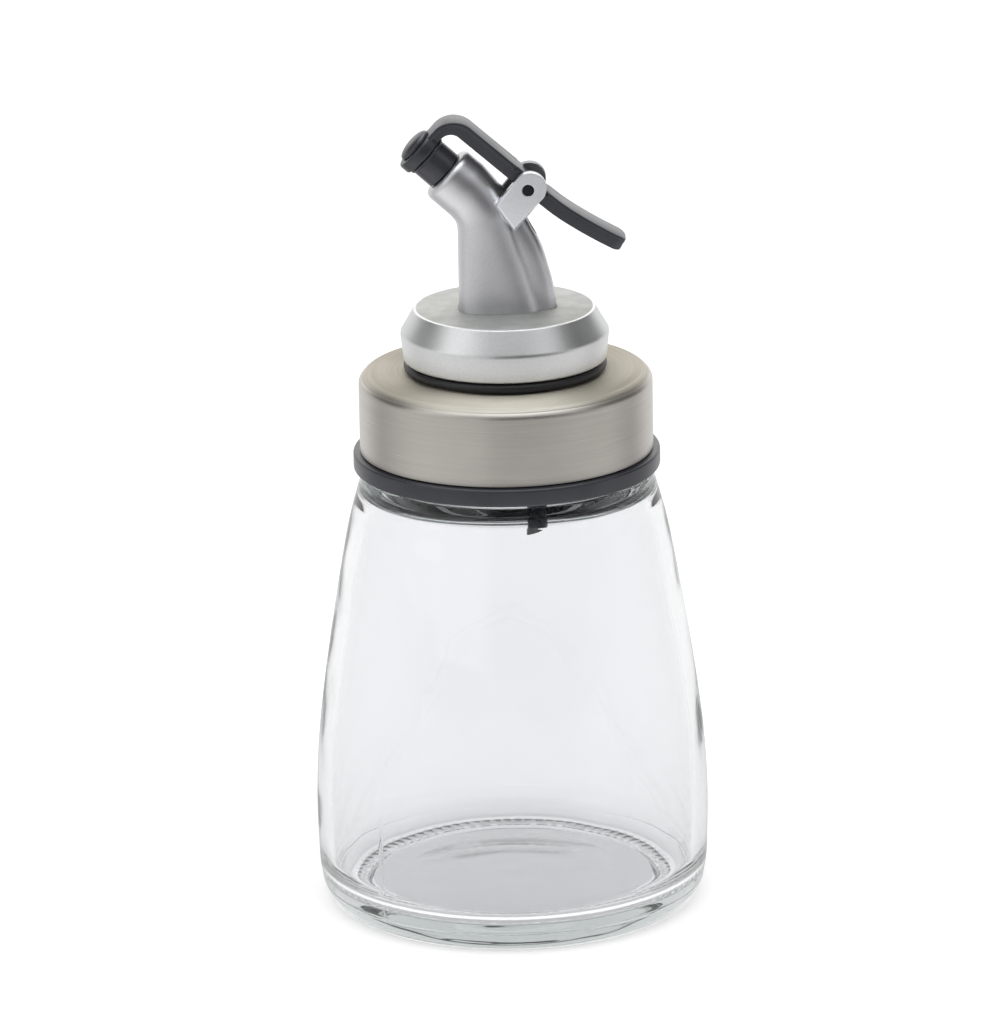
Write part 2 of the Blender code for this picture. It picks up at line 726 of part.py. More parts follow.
# Lever and stopper
def lever_path():
    """Centreline as (x, z, heading, thickness) from the ring to the thumb end."""
    across = math.pi / 2 - TUBE_TILT
    ring_centre = MOUTH_CENTRE + MOUTH_WAY * LEVER_RING_LEVEL
    strap = LEVER_RING_THICKNESS - RING_GAP
    start = ring_centre + MOUTH_UP * (LEVER_RING_BORE_R + LEVER_STRAP_START)
    arch_start = ring_centre + MOUTH_UP * LEVER_ARCH_START
    centre = arch_start - MOUTH_WAY * LEVER_ARCH_R
    path = [(start.x, start.z, across, strap), (arch_start.x, arch_start.z, across, strap)]
    for step in range(1, LEVER_ARCH_STEPS + 1):
        share = step / LEVER_ARCH_STEPS
        heading = across - (across + LEVER_ARM_TILT) * share
        x = centre.x - LEVER_ARCH_R * math.sin(heading)
        z = centre.z + LEVER_ARCH_R * math.cos(heading)
        path.append((x, z, heading, strap + (LEVER_ARM_THICKNESS - strap) * share))
    arm_x, arm_z = path[-1][:2]
    ears_from, ears_to = PIN.x - LEVER_EAR_REACH, PIN.x + LEVER_EAR_REACH
    for x in (ears_from - LEVER_EAR_STEP, ears_from, ears_to, ears_to + LEVER_EAR_STEP):
        z = arm_z - (x - arm_x) * math.tan(LEVER_ARM_TILT)
        path.append((x, z, -LEVER_ARM_TILT, LEVER_ARM_THICKNESS))
    curve = through([path[-1][:2], *HANDLE_KEYS], 3)
    for before, (x, z), after in zip(curve, curve[1:], [*curve[2:], curve[-1]]):
        heading = math.atan2(after[1] - before[1], after[0] - before[0])
        path.append((x, z, heading, LEVER_ARM_THICKNESS))
    x, z, heading, thickness = path[-1]
    tip = (x + HANDLE_END_R * math.cos(heading), z + HANDLE_END_R * math.sin(heading))
    return [*path, (*tip, heading, thickness - HANDLE_END_R)]


def lever_section(x, z, heading, thickness):
    """T-shaped section: a web with a slightly wider top, narrowed between the ears."""
    beside_ears = abs(x - PIN.x) <= LEVER_EAR_REACH + LEVER_EAR_STEP / 2
    top_half = EAR_GAP_HALF - LEVER_EAR_CLEARANCE if beside_ears else LEVER_TOP_HALF
    up = Vector((-math.sin(heading), 0.0, math.cos(heading)))
    half = thickness / 2
    under_top = half - LEVER_TOP_THICKNESS
    shape = [(-LEVER_WEB_HALF, -half), (LEVER_WEB_HALF, -half), (LEVER_WEB_HALF, under_top)]
    shape += [(top_half, under_top), (top_half, half), (-top_half, half), (-top_half, under_top)]
    shape += [(-LEVER_WEB_HALF, under_top)]
    return [Vector((x, y, z)) + up * rise for y, rise in shape]


def make_lever(black):
    lever = object_from(lofted_mesh([lever_section(*point) for point in lever_path()]), "lever", black, PIN)
    low = LEVER_RING_LEVEL - LEVER_RING_THICKNESS / 2
    high = low + LEVER_RING_THICKNESS
    ring = [
        (LEVER_RING_BORE_R, low),
        (LEVER_RING_R - LEVER_RING_EDGE, low),
        (LEVER_RING_R, low + LEVER_RING_EDGE),
        (LEVER_RING_R, high - LEVER_RING_EDGE),
        (LEVER_RING_R - LEVER_RING_EDGE, high),
        (LEVER_RING_BORE_R, high),
    ]
    combine(lever, turned_mesh(ring, TUBE_STEPS, mouth_frame()), "UNION", "ring")
    down = Vector((-math.sin(LEVER_ARM_TILT), 0.0, -math.cos(LEVER_ARM_TILT)))
    combine(lever, cross_rod_mesh(PIN + down * HUB_DROP, HUB_R, HUB_HALF), "UNION", "hub")
    hole = cross_rod_mesh(PIN, PIN_R + PIN_RUNNING_CLEARANCE, LEVER_TOP_HALF + CUT_PAST)
    combine(lever, hole, "DIFFERENCE", "pin_hole")
    return lever


def make_pin(black):
    return object_from(cross_rod_mesh(PIN, PIN_R, EAR_GAP_HALF + EAR_THICKNESS), "lever_pin", black, PIN)


def make_plug(rubber):
    flange_top = LEVER_RING_LEVEL - LEVER_RING_THICKNESS / 2 - RING_GAP
    flange_bottom = flange_top - PLUG_FLANGE_THICKNESS
    button_bottom = flange_top + LEVER_RING_THICKNESS + 2 * RING_GAP
    nose_r = (PLUG_R**2 + PLUG_NOSE_DEPTH**2) / (2 * PLUG_NOSE_DEPTH)
    nose_z = PLUG_LIFT - PLUG_NOSE_DEPTH + nose_r
    sweep = math.degrees(math.asin(PLUG_R / nose_r))
    nose = arc((0.0, nose_z), nose_r, -90, -90 + sweep, 4)
    button = []
    for step in range(BUTTON_STEPS + 1):
        turn = math.pi / 2 * (1 - step / BUTTON_STEPS)
        rise = BUTTON_EDGE + (BUTTON_HEIGHT - BUTTON_EDGE) * math.cos(turn)
        button.append((BUTTON_R * math.sin(turn), button_bottom + rise))
    outline = [
        (0.0, nose[0][1]),
        *nose[1:],
        (PLUG_R, flange_bottom),
        (PLUG_FLANGE_R, flange_bottom),
        (PLUG_FLANGE_R, flange_top),
        (PLUG_NECK_R, flange_top),
        (PLUG_NECK_R, button_bottom),
        (BUTTON_R, button_bottom),
        *button,
    ]
    return object_from(turned_mesh(outline, TUBE_STEPS, mouth_frame()), "stopper_plug", rubber, PIN)


def build():
    clear_scene()
    steel, black, rubber, silver = brushed_steel(), black_plastic(), black_rubber(), satin_silver()
    bottle = make_bottle(clear_glass())
    cap_axis = axis_empty("cap_axis", Vector((0.0, 0.0, RING_BOTTOM_Z)))
    lever_axis = axis_empty("lever_axis", PIN)
    attach(lever_axis, cap_axis)
    fixed = [make_shell(steel), make_liner(black), make_neck_gasket(rubber), make_pourer_gasket(rubber)]
    fixed += [make_collar(silver), make_spout(silver), make_nut(black), make_air_tube(black)]
    fixed += [make_pin(black)]
    moving = [make_lever(black), make_plug(rubber)]
    for piece in (bottle, *fixed, *moving):
        shade(piece)
    for piece in fixed:
        attach(piece, cap_axis)
    for piece in moving:
        piece.location = (0.0, 0.0, 0.0)
        piece.parent = lever_axis


build()
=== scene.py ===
"""Glass oil bottle with a screw cap and a lever pourer, on a plain white floor.

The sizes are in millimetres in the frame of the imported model: +Z up, base on z = 0,
spout towards -X, thumb lever towards +X.
"""

import math

import bmesh
import bpy
from mathutils import Matrix, Vector


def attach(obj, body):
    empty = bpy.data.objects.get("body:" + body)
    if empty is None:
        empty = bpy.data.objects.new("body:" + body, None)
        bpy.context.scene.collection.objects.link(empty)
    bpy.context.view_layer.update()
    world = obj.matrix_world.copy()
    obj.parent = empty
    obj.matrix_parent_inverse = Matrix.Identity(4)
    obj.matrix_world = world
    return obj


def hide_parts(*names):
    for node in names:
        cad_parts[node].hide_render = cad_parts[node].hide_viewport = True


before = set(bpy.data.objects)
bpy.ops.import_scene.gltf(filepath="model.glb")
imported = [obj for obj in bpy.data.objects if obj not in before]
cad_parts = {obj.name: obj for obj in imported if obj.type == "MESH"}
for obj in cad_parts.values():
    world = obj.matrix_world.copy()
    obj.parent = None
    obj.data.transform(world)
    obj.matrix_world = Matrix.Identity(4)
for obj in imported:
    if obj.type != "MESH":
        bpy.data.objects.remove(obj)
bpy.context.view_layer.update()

MM = 0.001
SEAT = 0.2
CUT_PAST = 1.0
TOLERANCE = 0.01
SHARP_DEG = 32
GLASS_BOUNCES = 24

# Steps round circles and along curves
CIRCLE_STEPS = 180
GLASS_STEPS = 360
TUBE_STEPS = 96
SMALL_STEPS = 48
CURVE_STEPS = 8
EDGE_STEPS = 6
ROUND_STEPS = 10
BULGE_STEPS = 16
CORNER_STEPS = 3
CORNER_SHARE = 0.45
BEVEL_STEPS = 4

# Glass neck and screw thread
NECK_R = 25.3
NECK_BORE_R = 21.5
NECK_ROOT_RISE = 0.4
LIP_EDGE_R = 0.7
THREAD_PITCH = 4.0
THREAD_TURNS = 1.25
THREAD_HEIGHT = 1.0
THREAD_ROOT_WIDTH = 1.6
THREAD_CREST_WIDTH = 0.7
THREAD_TAPER_TURN = 0.08
THREAD_SINK = 0.35
THREAD_TOP_GAP = 3.0

# Glass body: keys are (radius, height)
SHOULDER_R = 28.2
SHOULDER_TOP_Z = 87.4
SHOULDER_CORNER_R = 2.0
SHOULDER_START_DEG = 12
HEEL_KEYS = [(34.2, 0.0), (35.7, 1.0), (36.8, 3.1), (37.45, 6.0)]
WALL_KEYS = [
    (37.75, 9.0),
    (38.0, 20.0),
    (37.4, 32.0),
    (35.85, 45.0),
    (33.5, 60.0),
    (30.8, 75.0),
    (28.2, 84.6),
]
GLASS_WALL = 2.9
PUSH_UP_KEYS = [(0.0, 2.3), (4.0, 2.28), (10.0, 2.05), (16.0, 1.7), (21.7, 1.4)]
CONTACT_INNER_R = 28.6
FLOOR_Z = 4.6
FLOOR_CROWN = 0.5
FLOOR_CROWN_STEPS = 24
FLOOR_CORNER_R = 6.0
FLOOR_CORNER_DEG = 88
FLOOR_CORNER_STEPS = 12
INNER_SHOULDER_Z = 79.0
INNER_SHOULDER_KEYS = [(0.0, 7.6), (0.05, 6.5), (0.8, 3.1), (0.92, 2.1), (1.0, 0.0)]
KNURL_RS = (29.3, 29.7, 31.4, 31.8)
KNURL_DEPTH = 0.12
KNURL_PERIOD = 4
SEAM_DEG = (-131.6, 48.4)
SEAM_HALF_DEG = 0.22
SEAM_RISE = 0.035
SEAM_FADE_Z = (18.0, 45.0)
SEAM_TOP_SHARE = 0.2
HEEL_LINE_Z = 3.9
HEEL_LINE_HALF = 0.25
HEEL_LINE_RISE = 0.08

# Cap
LINER_BORE_R = 26.7
LINER_PLATE = 1.9
LINER_MOUTH_CHAMFER = 1.5
SHELL_WALL = 0.4
SHELL_R = 28.15
SHELL_TOP_Z = 105.7
SHELL_EDGE_R = 1.9
SHELL_EDGE_WIDTH = 6.5
SHELL_EDGE_DROP = 2.5
SHELL_EDGE_SQUARENESS = 2.5
SHELL_EDGE_STEPS = 32
SHELL_RIM = 0.1
RING_R = 29.45
RING_BOTTOM_Z = 86.7
RING_TOP_Z = 90.1
RING_EDGE_R = 0.5
NECK_GASKET_THICKNESS = 1.2

# Pourer base
GASKET_R = 19.45
COLLAR_BOTTOM_Z = 108.0
COLLAR_BOTTOM_R = 19.45
COLLAR_BAND_TOP = (19.95, 113.4)
COLLAR_TOP_R = 17.3
COLLAR_TOP_Z = 118.0
COLLAR_CAVITY_R = 17.0
COLLAR_CAVITY_CORNER = 1.0
COLLAR_PLATE = 2.4
COLLAR_EDGE_R = 0.5
COLLAR_RIM_R = 0.45
STEM_R = 8.0
STEM_BOTTOM_Z = 97.0
STEM_HOLE_CLEARANCE = 0.3
FLANGE_R = 15.5
FLANGE_THICKNESS = 2.2
FOOT_SINK = 1.0
BOSS_R = 12.0

# Spout tube: stations are (left x, left z, right x, right z, half width, squareness)
FOOT_LEFT_X = -8.64
FOOT_RIGHT_X = 7.0
FOOT_HALF_WIDTH = 5.95
FOOT_SQUARENESS = 3.4
HOLE_MARGIN = 0.06
TUBE_R = 5.65
TUBE_TILT = math.radians(42.5)
MOUTH_CENTRE = Vector((-10.81, 0.0, 144.73))
LIP_ROUND = 1.2
BEND_STATIONS = [
    (FOOT_LEFT_X, 123.0, 5.8, 122.8, 5.85, 2.8),
    (FOOT_LEFT_X, 127.0, 4.6, 127.2, 5.75, 2.5),
    (FOOT_LEFT_X, 130.5, 3.3, 131.4, 5.65, 2.3),
    (FOOT_LEFT_X, 133.2, 2.2, 135.2, 5.6, 2.15),
    (-8.95, 134.9, 1.4, 138.6, 5.55, 2.1),
    (-9.9, 136.2, -0.4, 141.9, 5.55, 2.0),
]
TUBE_STATION_STARTS = [-5.0, -3.0, -1.2]
RIB_STATIONS = [
    (1.0, 121.5, 9.4, 122.4, 3.25, 2.7),
    (0.5, 124.0, 8.5, 126.0, 3.2, 2.7),
    (-0.5, 126.5, 7.3, 130.0, 3.15, 2.6),
    (-2.0, 128.6, 5.6, 133.7, 3.1, 2.5),
    (-3.5, 131.0, 3.2, 137.7, 3.0, 2.4),
    (-5.5, 134.0, 0.5, 141.3, 2.8, 2.3),
    (-6.5, 137.0, -2.0, 143.3, 2.2, 2.2),
]
RIB_FOOT_RIGHT_X = 10.0
RIB_FOOT_LEFT_X = 1.0
RIB_HALF_WIDTH = 3.3
FLOW_X = -2.6
FLOW_R = 4.2
FLOW_TOP_Z = 137.5
MOUTH_BORE_R = 3.6
MOUTH_BORE_DEPTH = 11.5
MOUTH_CHAMFER = 0.3
AIR_X = 5.4
AIR_R = 1.0
AIR_TOP_Z = 138.0
AIR_TUBE_R = 1.875
AIR_TUBE_BORE_R = 1.2
AIR_TUBE_BOTTOM_Z = 72.6
AIR_TUBE_CUT_SLOPE = 0.7
AIR_TUBE_SOCKET_DEPTH = 8.0
SOCKET_CLEARANCE = 0.1

# Ears, pin and lever
PIN = Vector((4.87, 0.0, 141.95))
PIN_R = 1.1
PIN_PRESS_CLEARANCE = 0.05
PIN_RUNNING_CLEARANCE = 0.07
PIN_EDGE = 0.15
EAR_GAP_HALF = 3.15
EAR_THICKNESS = 1.9
EAR_HEAD = (5.25, 142.25)
EAR_HEAD_R = 3.1
EAR_HEAD_STEPS = 40
EAR_BASE_UPPER = (-1.5, 139.1)
EAR_BASE_LOWER = (2.2, 133.75)
EAR_BEVEL = 0.65
LEVER_WEB_HALF = 2.9
LEVER_TOP_HALF = 3.45
LEVER_TOP_THICKNESS = 0.9
LEVER_EAR_CLEARANCE = 0.2
LEVER_EAR_REACH = 2.8
LEVER_EAR_STEP = 0.25
LEVER_ARM_THICKNESS = 2.95
LEVER_RING_THICKNESS = 2.3
LEVER_RING_R = 4.8
LEVER_RING_BORE_R = 2.35
LEVER_RING_LEVEL = 6.2
LEVER_RING_EDGE = 0.5
LEVER_STRAP_START = 0.6
LEVER_ARCH_START = 4.9
LEVER_ARCH_R = 3.68
LEVER_ARCH_STEPS = 24
LEVER_ARM_TILT = math.radians(41.2)
LEVER_ROUND = 0.35
HANDLE_KEYS = [(11.0, 137.3), (14.8, 134.75), (18.5, 132.55), (22.0, 130.65)]
HANDLE_END_R = 1.9
HANDLE_END_DROP = 0.8
HANDLE_END_SHIFT = 1.0
HANDLE_END_SPACE = 0.1
HANDLE_END_DEG = 4
HUB_R = 2.1
HUB_DROP = 0.5
HUB_HALF = 2.8

# Stopper
PLUG_R = 3.95
PLUG_NOSE_DEPTH = 1.2
PLUG_LIFT = 0.3
PLUG_FLANGE_R = 4.25
PLUG_FLANGE_THICKNESS = 0.65
PLUG_FLANGE_START_DEG = -70
PLUG_NECK_R = 2.2
BUTTON_R = 3.5
BUTTON_HEIGHT = 1.45
BUTTON_EDGE = 0.3
RING_GAP = 0.1

LINER_TOP_Z = SHELL_TOP_Z - SHELL_WALL - SEAT
LINER_UNDERSIDE_Z = LINER_TOP_Z - LINER_PLATE
LIP_TOP_Z = LINER_UNDERSIDE_Z - SEAT - NECK_GASKET_THICKNESS - SEAT
GLASS_THREAD_START_Z = LIP_TOP_Z - THREAD_TOP_GAP - THREAD_PITCH * THREAD_TURNS
LINER_THREAD_START_Z = GLASS_THREAD_START_Z - THREAD_PITCH / 2
STEM_HOLE_R = STEM_R + STEM_HOLE_CLEARANCE
MOUTH_WAY = Vector((-math.cos(TUBE_TILT), 0.0, math.sin(TUBE_TILT)))
MOUTH_UP = Vector((math.sin(TUBE_TILT), 0.0, math.cos(TUBE_TILT)))

# Materials: noise scales are per metre, and a bump is (strength, distance in metres)
NOISE_SPAN = (0.3, 0.7)
SLOW_SPREAD = 0.03
EDGE_SAMPLES = 6
GLASS_COLOUR = (0.915, 0.917, 0.93, 1.0)
GLASS_TINT = (0.48, 0.54, 0.52, 1.0)
GLASS_TINT_DENSITY = 16.0
GLASS_WAVES_SCALE = 55.0
GLASS_WAVES_BUMP = (0.12, 0.002)
GLASS_SMEAR_SCALE = 30.0
GLASS_SMEAR_SPAN = (0.35, 0.75)
GLASS_SMEAR_ROUGHNESS = 0.02
STEEL_SIDE = (0.525, 0.50, 0.465)
# Warmer top colour: a painted warm reflection of the light from above, blended in over the heights that
# follow
STEEL_TOP_WARM_REFLECTION = (0.50, 0.465, 0.395)
STEEL_TOP_Z = (103.8, 105.4)
STEEL_BRUSH_SCALE = (60.0, 60.0, 8000.0)
STEEL_BRUSH_LEVELS = (0.94, 1.05)
STEEL_BRUSH_BUMP = (0.25, 0.00003)
STEEL_SLOW_SCALE = 90.0
STEEL_ROUGHNESS = 0.34
STEEL_BRUSH_ROUGHNESS = (0.38, 0.27)
STEEL_TOP_ROUGHER = 0.28
STEEL_ANISOTROPY = 0.8
STEEL_BRUSH_TURN = 0.25
SILVER = (0.68, 0.68, 0.70)
SILVER_ROUNDING = 0.7
EAR_SILVER = (0.79, 0.80, 0.825)
COLLAR_SILVER = (0.78, 0.785, 0.785)
SILVER_METALLIC = 0.92
SILVER_GRAIN_SCALE = 3600.0
SILVER_GRAIN_LEVELS = (0.95, 1.05)
SILVER_GRAIN_BUMP = (0.35, 0.00004)
SILVER_SLOW_SCALE = 120.0
SILVER_ROUGHNESS = 0.36
SILVER_SLOW_ROUGHNESS = (0.33, 0.40)
# Painted shade between the ears, reaching further over the far ear: the share the paint darkens to, its fade
# and unevenness in millimetres, and the far ear's extra reach
PAINTED_SHADE_SHARE = 0.36
PAINTED_SHADE_FADE = (0.5, 0.8)
PAINTED_SHADE_UNEVEN = 0.1
FAR_EAR_PAINTED_SHADE = 1.1
# Collar top: dust specks, and a darker, warmer colour that is painted shade with a painted warm reflection;
# then its fade in millimetres, its roughness and the specks
DUST_AND_SHADE_SILVER = (0.465, 0.465, 0.445)
DUST_AND_SHADE_FADE = 0.03
DUSTY_ROUGHNESS = 0.62
DUST_SCALE = 260.0
DUST_SPAN = (0.35, 0.65)
DUST_LEVELS = (0.9, 1.08)
PLASTIC = (0.030, 0.031, 0.039)
RUBBER = (0.038, 0.039, 0.048)
GASKET_BLACK = (0.012, 0.012, 0.014)
PIN_BLACK = (0.010, 0.010, 0.012)
BLACK_GRAIN_SCALE = 2600.0
BLACK_GRAIN_DISTANCE = 0.00003
BLACK_SLOW_SCALE = 150.0
BLACK_SLOW_LEVELS = (0.85, 1.2)
BLACK_SLOW_ROUGHNESS = (-0.04, 0.05)
BLACK_ROUNDING = 0.2

# Floor: FLOOR_LIFT is its own light for the camera, and FLOOR_THROUGH for what shows through glass.
# A reflection shows FLOOR_NEAR in front of the bottle and FLOOR_NEAR_BACK behind it. Further out it
# shows FLOOR_AROUND by direction, 0 in front and 1 behind, and in front FLOOR_OUTWARDS by distance.
# A reach is in metres, and a turn is y over the distance, -1 straight in front.
FLOOR_WHITE = 0.88
FLOOR_ROUGHNESS = 0.9
FLOOR_HALF_SIZE = 6000.0
FLOOR_LIFT = 0.42
FLOOR_THROUGH = 0.33
FLOOR_NEAR = 1.3
FLOOR_NEAR_BACK = 0.6
FLOOR_NEAR_REACH = (0.12, 0.25)
FLOOR_NEAR_TURN = (-0.4, 0.3)
FLOOR_AROUND = [(0.0, 0.78), (0.15, 0.83), (0.45, 0.82), (0.7, 0.62), (0.88, 0.95), (1.0, 0.9)]
FLOOR_OUTWARDS = [(0.0, 1.0), (0.16, 1.0), (0.25, 0.85), (0.7, 0.3), (1.0, 0.25)]
FLOOR_OUTWARDS_REACH = 2.0
FLOOR_FORE_TURN = -0.8

# Studio that reflections show: grey by the sine of the height, and lobes of
# (direction, degrees to the full level, degrees to nothing, colour added)
STUDIO_BASE = [(-1.0, 0.8), (-0.1, 0.85), (0.0, 0.9), (0.2, 0.8), (0.35, 0.6), (0.5, 0.38), (1.0, 0.5)]
STUDIO_LOBES = [
    ((0.0, 0.12, 1.0), 16, 40, (2.85, 3.0, 3.15)),
    ((0.27, -0.96, 0.03), 24, 36, (-0.9, -0.9, -0.9)),
    ((0.75, -0.62, 0.1), 14, 32, (-0.6, -0.6, -0.6)),
    ((-0.42, 0.86, 0.3), 5, 13, (0.9, 0.9, 0.9)),
    ((-0.708, -0.392, 0.588), 8, 24, (0.65, 0.65, 0.66)),
    ((0.708, -0.43, 0.56), 8, 24, (0.5, 0.5, 0.51)),
    ((-0.82, -0.15, 0.45), 6, 16, (0.9, 0.9, 0.9)),
    ((0.0, 0.7, 0.71), 12, 34, (0.9, 0.87, 0.8)),
    ((-0.82, 0.24, 0.52), 14, 34, (-0.75, -0.75, -0.75)),
    ((0.82, 0.24, 0.52), 14, 34, (-0.85, -0.85, -0.85)),
    ((0.2, 0.97, 0.08), 12, 34, (0.55, 0.55, 0.55)),
    ((0.75, 0.64, 0.18), 8, 24, (-0.35, -0.35, -0.35)),
]
STUDIO_LEAST = (0.05, 0.05, 0.05)
STUDIO_DIFFUSE = (0.8, 0.8, 0.8, 1.0)
WHITE = (1.0, 1.0, 1.0, 1.0)

# Lamps, in metres: (name, place, size, watts, colour)
LAMPS = [
    ("overhead", (0.0, -0.15, 0.75), (0.5, 0.4), 0.6, (1.0, 0.97, 0.93)),
    ("left", (-0.7, -0.35, 0.4), (0.35, 0.6), 0.4, (1.0, 1.0, 1.0)),
    ("right", (0.7, -0.3, 0.45), (0.35, 0.6), 0.3, (1.0, 1.0, 1.0)),
]
LAMP_AIM = Vector((0.0, 0.0, 0.1))

# Camera, fitted to the round edges in the photograph; angles are in radians
CAMERA_FOCAL_PX = 7275.261641
CAMERA_AIM = Vector((-3.322842, 0.0, 77.008315))
CAMERA_DISTANCE = 1400.0
CAMERA_LOWER = 0.295686
CAMERA_ROLL = -0.01773
CAMERA_SENSOR = 36.0
CAMERA_CLIP = (0.01, 20.0)
PHOTO_WIDTH_PX = 981


# Outlines: lists of (radius, height) or (x, z) pairs
def arc(centre, radius, start_deg, end_deg, steps):
    points = []
    for step in range(steps + 1):
        angle = math.radians(start_deg + (end_deg - start_deg) * step / steps)
        points.append((centre[0] + radius * math.cos(angle), centre[1] + radius * math.sin(angle)))
    return points


def through(keys, steps):
    """Smooth curve (Catmull-Rom) through keys of any number of values."""
    padded = [keys[0], *keys, keys[-1]]
    points = []
    for four_keys in zip(padded, padded[1:], padded[2:], padded[3:]):
        for step in range(steps):
            t = step / steps
            point = []
            for p, q, r, s in zip(*four_keys):
                value = 2 * q + (r - p) * t
                value += (2 * p - 5 * q + 4 * r - s) * t**2
                value += (3 * q - p - 3 * r + s) * t**3
                point.append(0.5 * value)
            points.append(tuple(point))
    return points + [tuple(keys[-1])]


def at_height(outline, z):
    """Radius of a rising outline at a height."""
    for (r0, z0), (r1, z1) in zip(outline, outline[1:]):
        if z0 <= z <= z1:
            return r0 + (r1 - r0) * (z - z0) / (z1 - z0)
    return outline[-1][0]


def softened(points, radius):
    """Closed outline of vectors with every corner rounded."""
    rounded = []
    for before, corner, after in zip([points[-1], *points[:-1]], points, [*points[1:], points[0]]):
        start = corner + (before - corner) * min(CORNER_SHARE, radius / (before - corner).length)
        end = corner + (after - corner) * min(CORNER_SHARE, radius / (after - corner).length)
        for step in range(CORNER_STEPS + 1):
            t = step / CORNER_STEPS
            rounded.append(start * (1 - t) ** 2 + corner * 2 * t * (1 - t) + end * t**2)
    return rounded


def rod_outline(radius, bottom, top):
    return [(0.0, bottom), (radius, bottom), (radius, top), (0.0, top)]


# Meshes, in millimetres
def add_ring(bm, points):
    return [bm.verts.new(point) for point in points]


def skin(bm, rings, wrap=False):
    """Faces from ring to ring; a ring of one vertex closes an end."""
    pairs = list(zip(rings, rings[1:]))
    if wrap:
        pairs.append((rings[-1], rings[0]))
    for low, high in pairs:
        count = max(len(low), len(high))
        for i in range(count):
            j = (i + 1) % count
            corners = (low[i % len(low)], low[j % len(low)], high[j % len(high)], high[i % len(high)])
            corners = list(dict.fromkeys(corners))
            if len(corners) > 2:
                bm.faces.new(corners)


def turned_mesh(outline, steps=CIRCLE_STEPS, place=None, angles=None):
    """Outline turned about Z; with a place it starts half a step round and is moved there."""
    bm = bmesh.new()
    first = 0.5 if place else 0.0
    turn = angles or [2 * math.pi * (i + first) / steps for i in range(steps)]
    rings = []
    for radius, height in outline:
        around = turn if radius > 0 else turn[:1]
        points = [(radius * math.cos(angle), radius * math.sin(angle), height) for angle in around]
        rings.append(add_ring(bm, points))
    skin(bm, rings, wrap=outline[0][0] > 0)
    if place:
        bmesh.ops.transform(bm, matrix=place, verts=bm.verts)
    return bm


def lofted_mesh(sections):
    bm = bmesh.new()
    rings = [add_ring(bm, section) for section in sections]
    skin(bm, rings)
    bm.faces.new(rings[0])
    bm.faces.new(rings[-1])
    return bm


def plate_mesh(outline, y_from, y_to, bevel):
    """Plate across Y with a bevel round its face at y_to."""
    bm = bmesh.new()
    near = add_ring(bm, [(x, y_from, z) for x, z in outline])
    far = add_ring(bm, [(x, y_to, z) for x, z in outline])
    bm.faces.new(near)
    outer = bm.faces.new(far)
    skin(bm, [near, far])
    edges = list(outer.edges)
    bmesh.ops.bevel(bm, geom=edges, offset=bevel, segments=BEVEL_STEPS, affect="EDGES", profile=0.5)
    return bm


def rod_mesh(centre, radius, half_length, edge=0.0):
    """Round rod along Y, its ends chamfered by edge."""
    across = Matrix.Translation(centre) @ Matrix.Rotation(math.radians(90), 4, "X")
    outline = rod_outline(radius, -half_length, half_length)
    if edge:
        outline[1:2] = [(radius - edge, -half_length), (radius, edge - half_length)]
        outline[-2:-1] = [(radius, half_length - edge), (radius - edge, half_length)]
    return turned_mesh(outline, SMALL_STEPS, across)


def object_from(bm, name, material):
    bmesh.ops.recalc_face_normals(bm, faces=bm.faces)
    bmesh.ops.triangulate(bm, faces=[face for face in bm.faces if len(face.verts) > 4])
    bmesh.ops.scale(bm, vec=(MM, MM, MM), verts=bm.verts)
    mesh = bpy.data.meshes.new(name)
    bm.to_mesh(mesh)
    bm.free()
    obj = bpy.data.objects.new(name, mesh)
    bpy.context.scene.collection.objects.link(obj)
    if material:
        mesh.materials.append(material)
    return obj


def combine(obj, bm, operation, material=None):
    """Boolean with another mesh, which keeps its own material if it has one."""
    tool = object_from(bm, obj.name + "_tool", material)
    modifier = obj.modifiers.new(operation, "BOOLEAN")
    if material:
        modifier.material_mode = "TRANSFER"
    modifier.operation = operation
    modifier.object = tool


def finished(obj, body, node):
    """Bakes the Booleans, smooths all but the real edges and puts the piece in the node's place."""
    bpy.context.view_layer.update()
    baked = obj.evaluated_get(bpy.context.evaluated_depsgraph_get())
    mesh = bpy.data.meshes.new_from_object(baked)
    tools = [modifier.object for modifier in obj.modifiers]
    obj.modifiers.clear()
    obj.data = mesh
    for tool in tools:
        bpy.data.objects.remove(tool, do_unlink=True)
    mesh.shade_smooth()
    mesh.set_sharp_from_angle(angle=math.radians(SHARP_DEG))
    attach(obj, body)
    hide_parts(node)


# Node trees
def add_node(tree, kind, inputs=(), **settings):
    node = tree.nodes.new("ShaderNode" + kind)
    for name, value in settings.items():
        setattr(node, name, value)
    for key, value in dict(inputs).items():
        socket = node.inputs[key]
        if isinstance(value, bpy.types.NodeSocket):
            tree.links.new(value, socket)
        else:
            socket.default_value = value
    return node


def math_node(tree, operation, *values):
    return add_node(tree, "Math", dict(enumerate(values)), operation=operation).outputs[0]


def ranged(tree, value, low, high, to_low, to_high):
    numbers = {"Value": value, "From Min": low, "From Max": high, "To Min": to_low, "To Max": to_high}
    return add_node(tree, "MapRange", numbers).outputs[0]


def noise(tree, vector, scale, detail, w=None):
    inputs = {"Vector": vector, "Scale": scale, "Detail": detail}
    if w is None:
        return add_node(tree, "TexNoise", inputs).outputs[0]
    return add_node(tree, "TexNoise", {**inputs, "W": w}, noise_dimensions="4D").outputs[0]


def spread(tree, value, low, high):
    """A noise, which keeps mostly to NOISE_SPAN, as a number from low to high."""
    return ranged(tree, value, *NOISE_SPAN, low, high)


def shaded(tree, colour, amount):
    """The colour times an amount that varies over the surface."""
    mixed = add_node(tree, "VectorMath", {0: colour}, operation="SCALE")
    tree.links.new(amount, mixed.inputs["Scale"])
    return mixed.outputs[0]


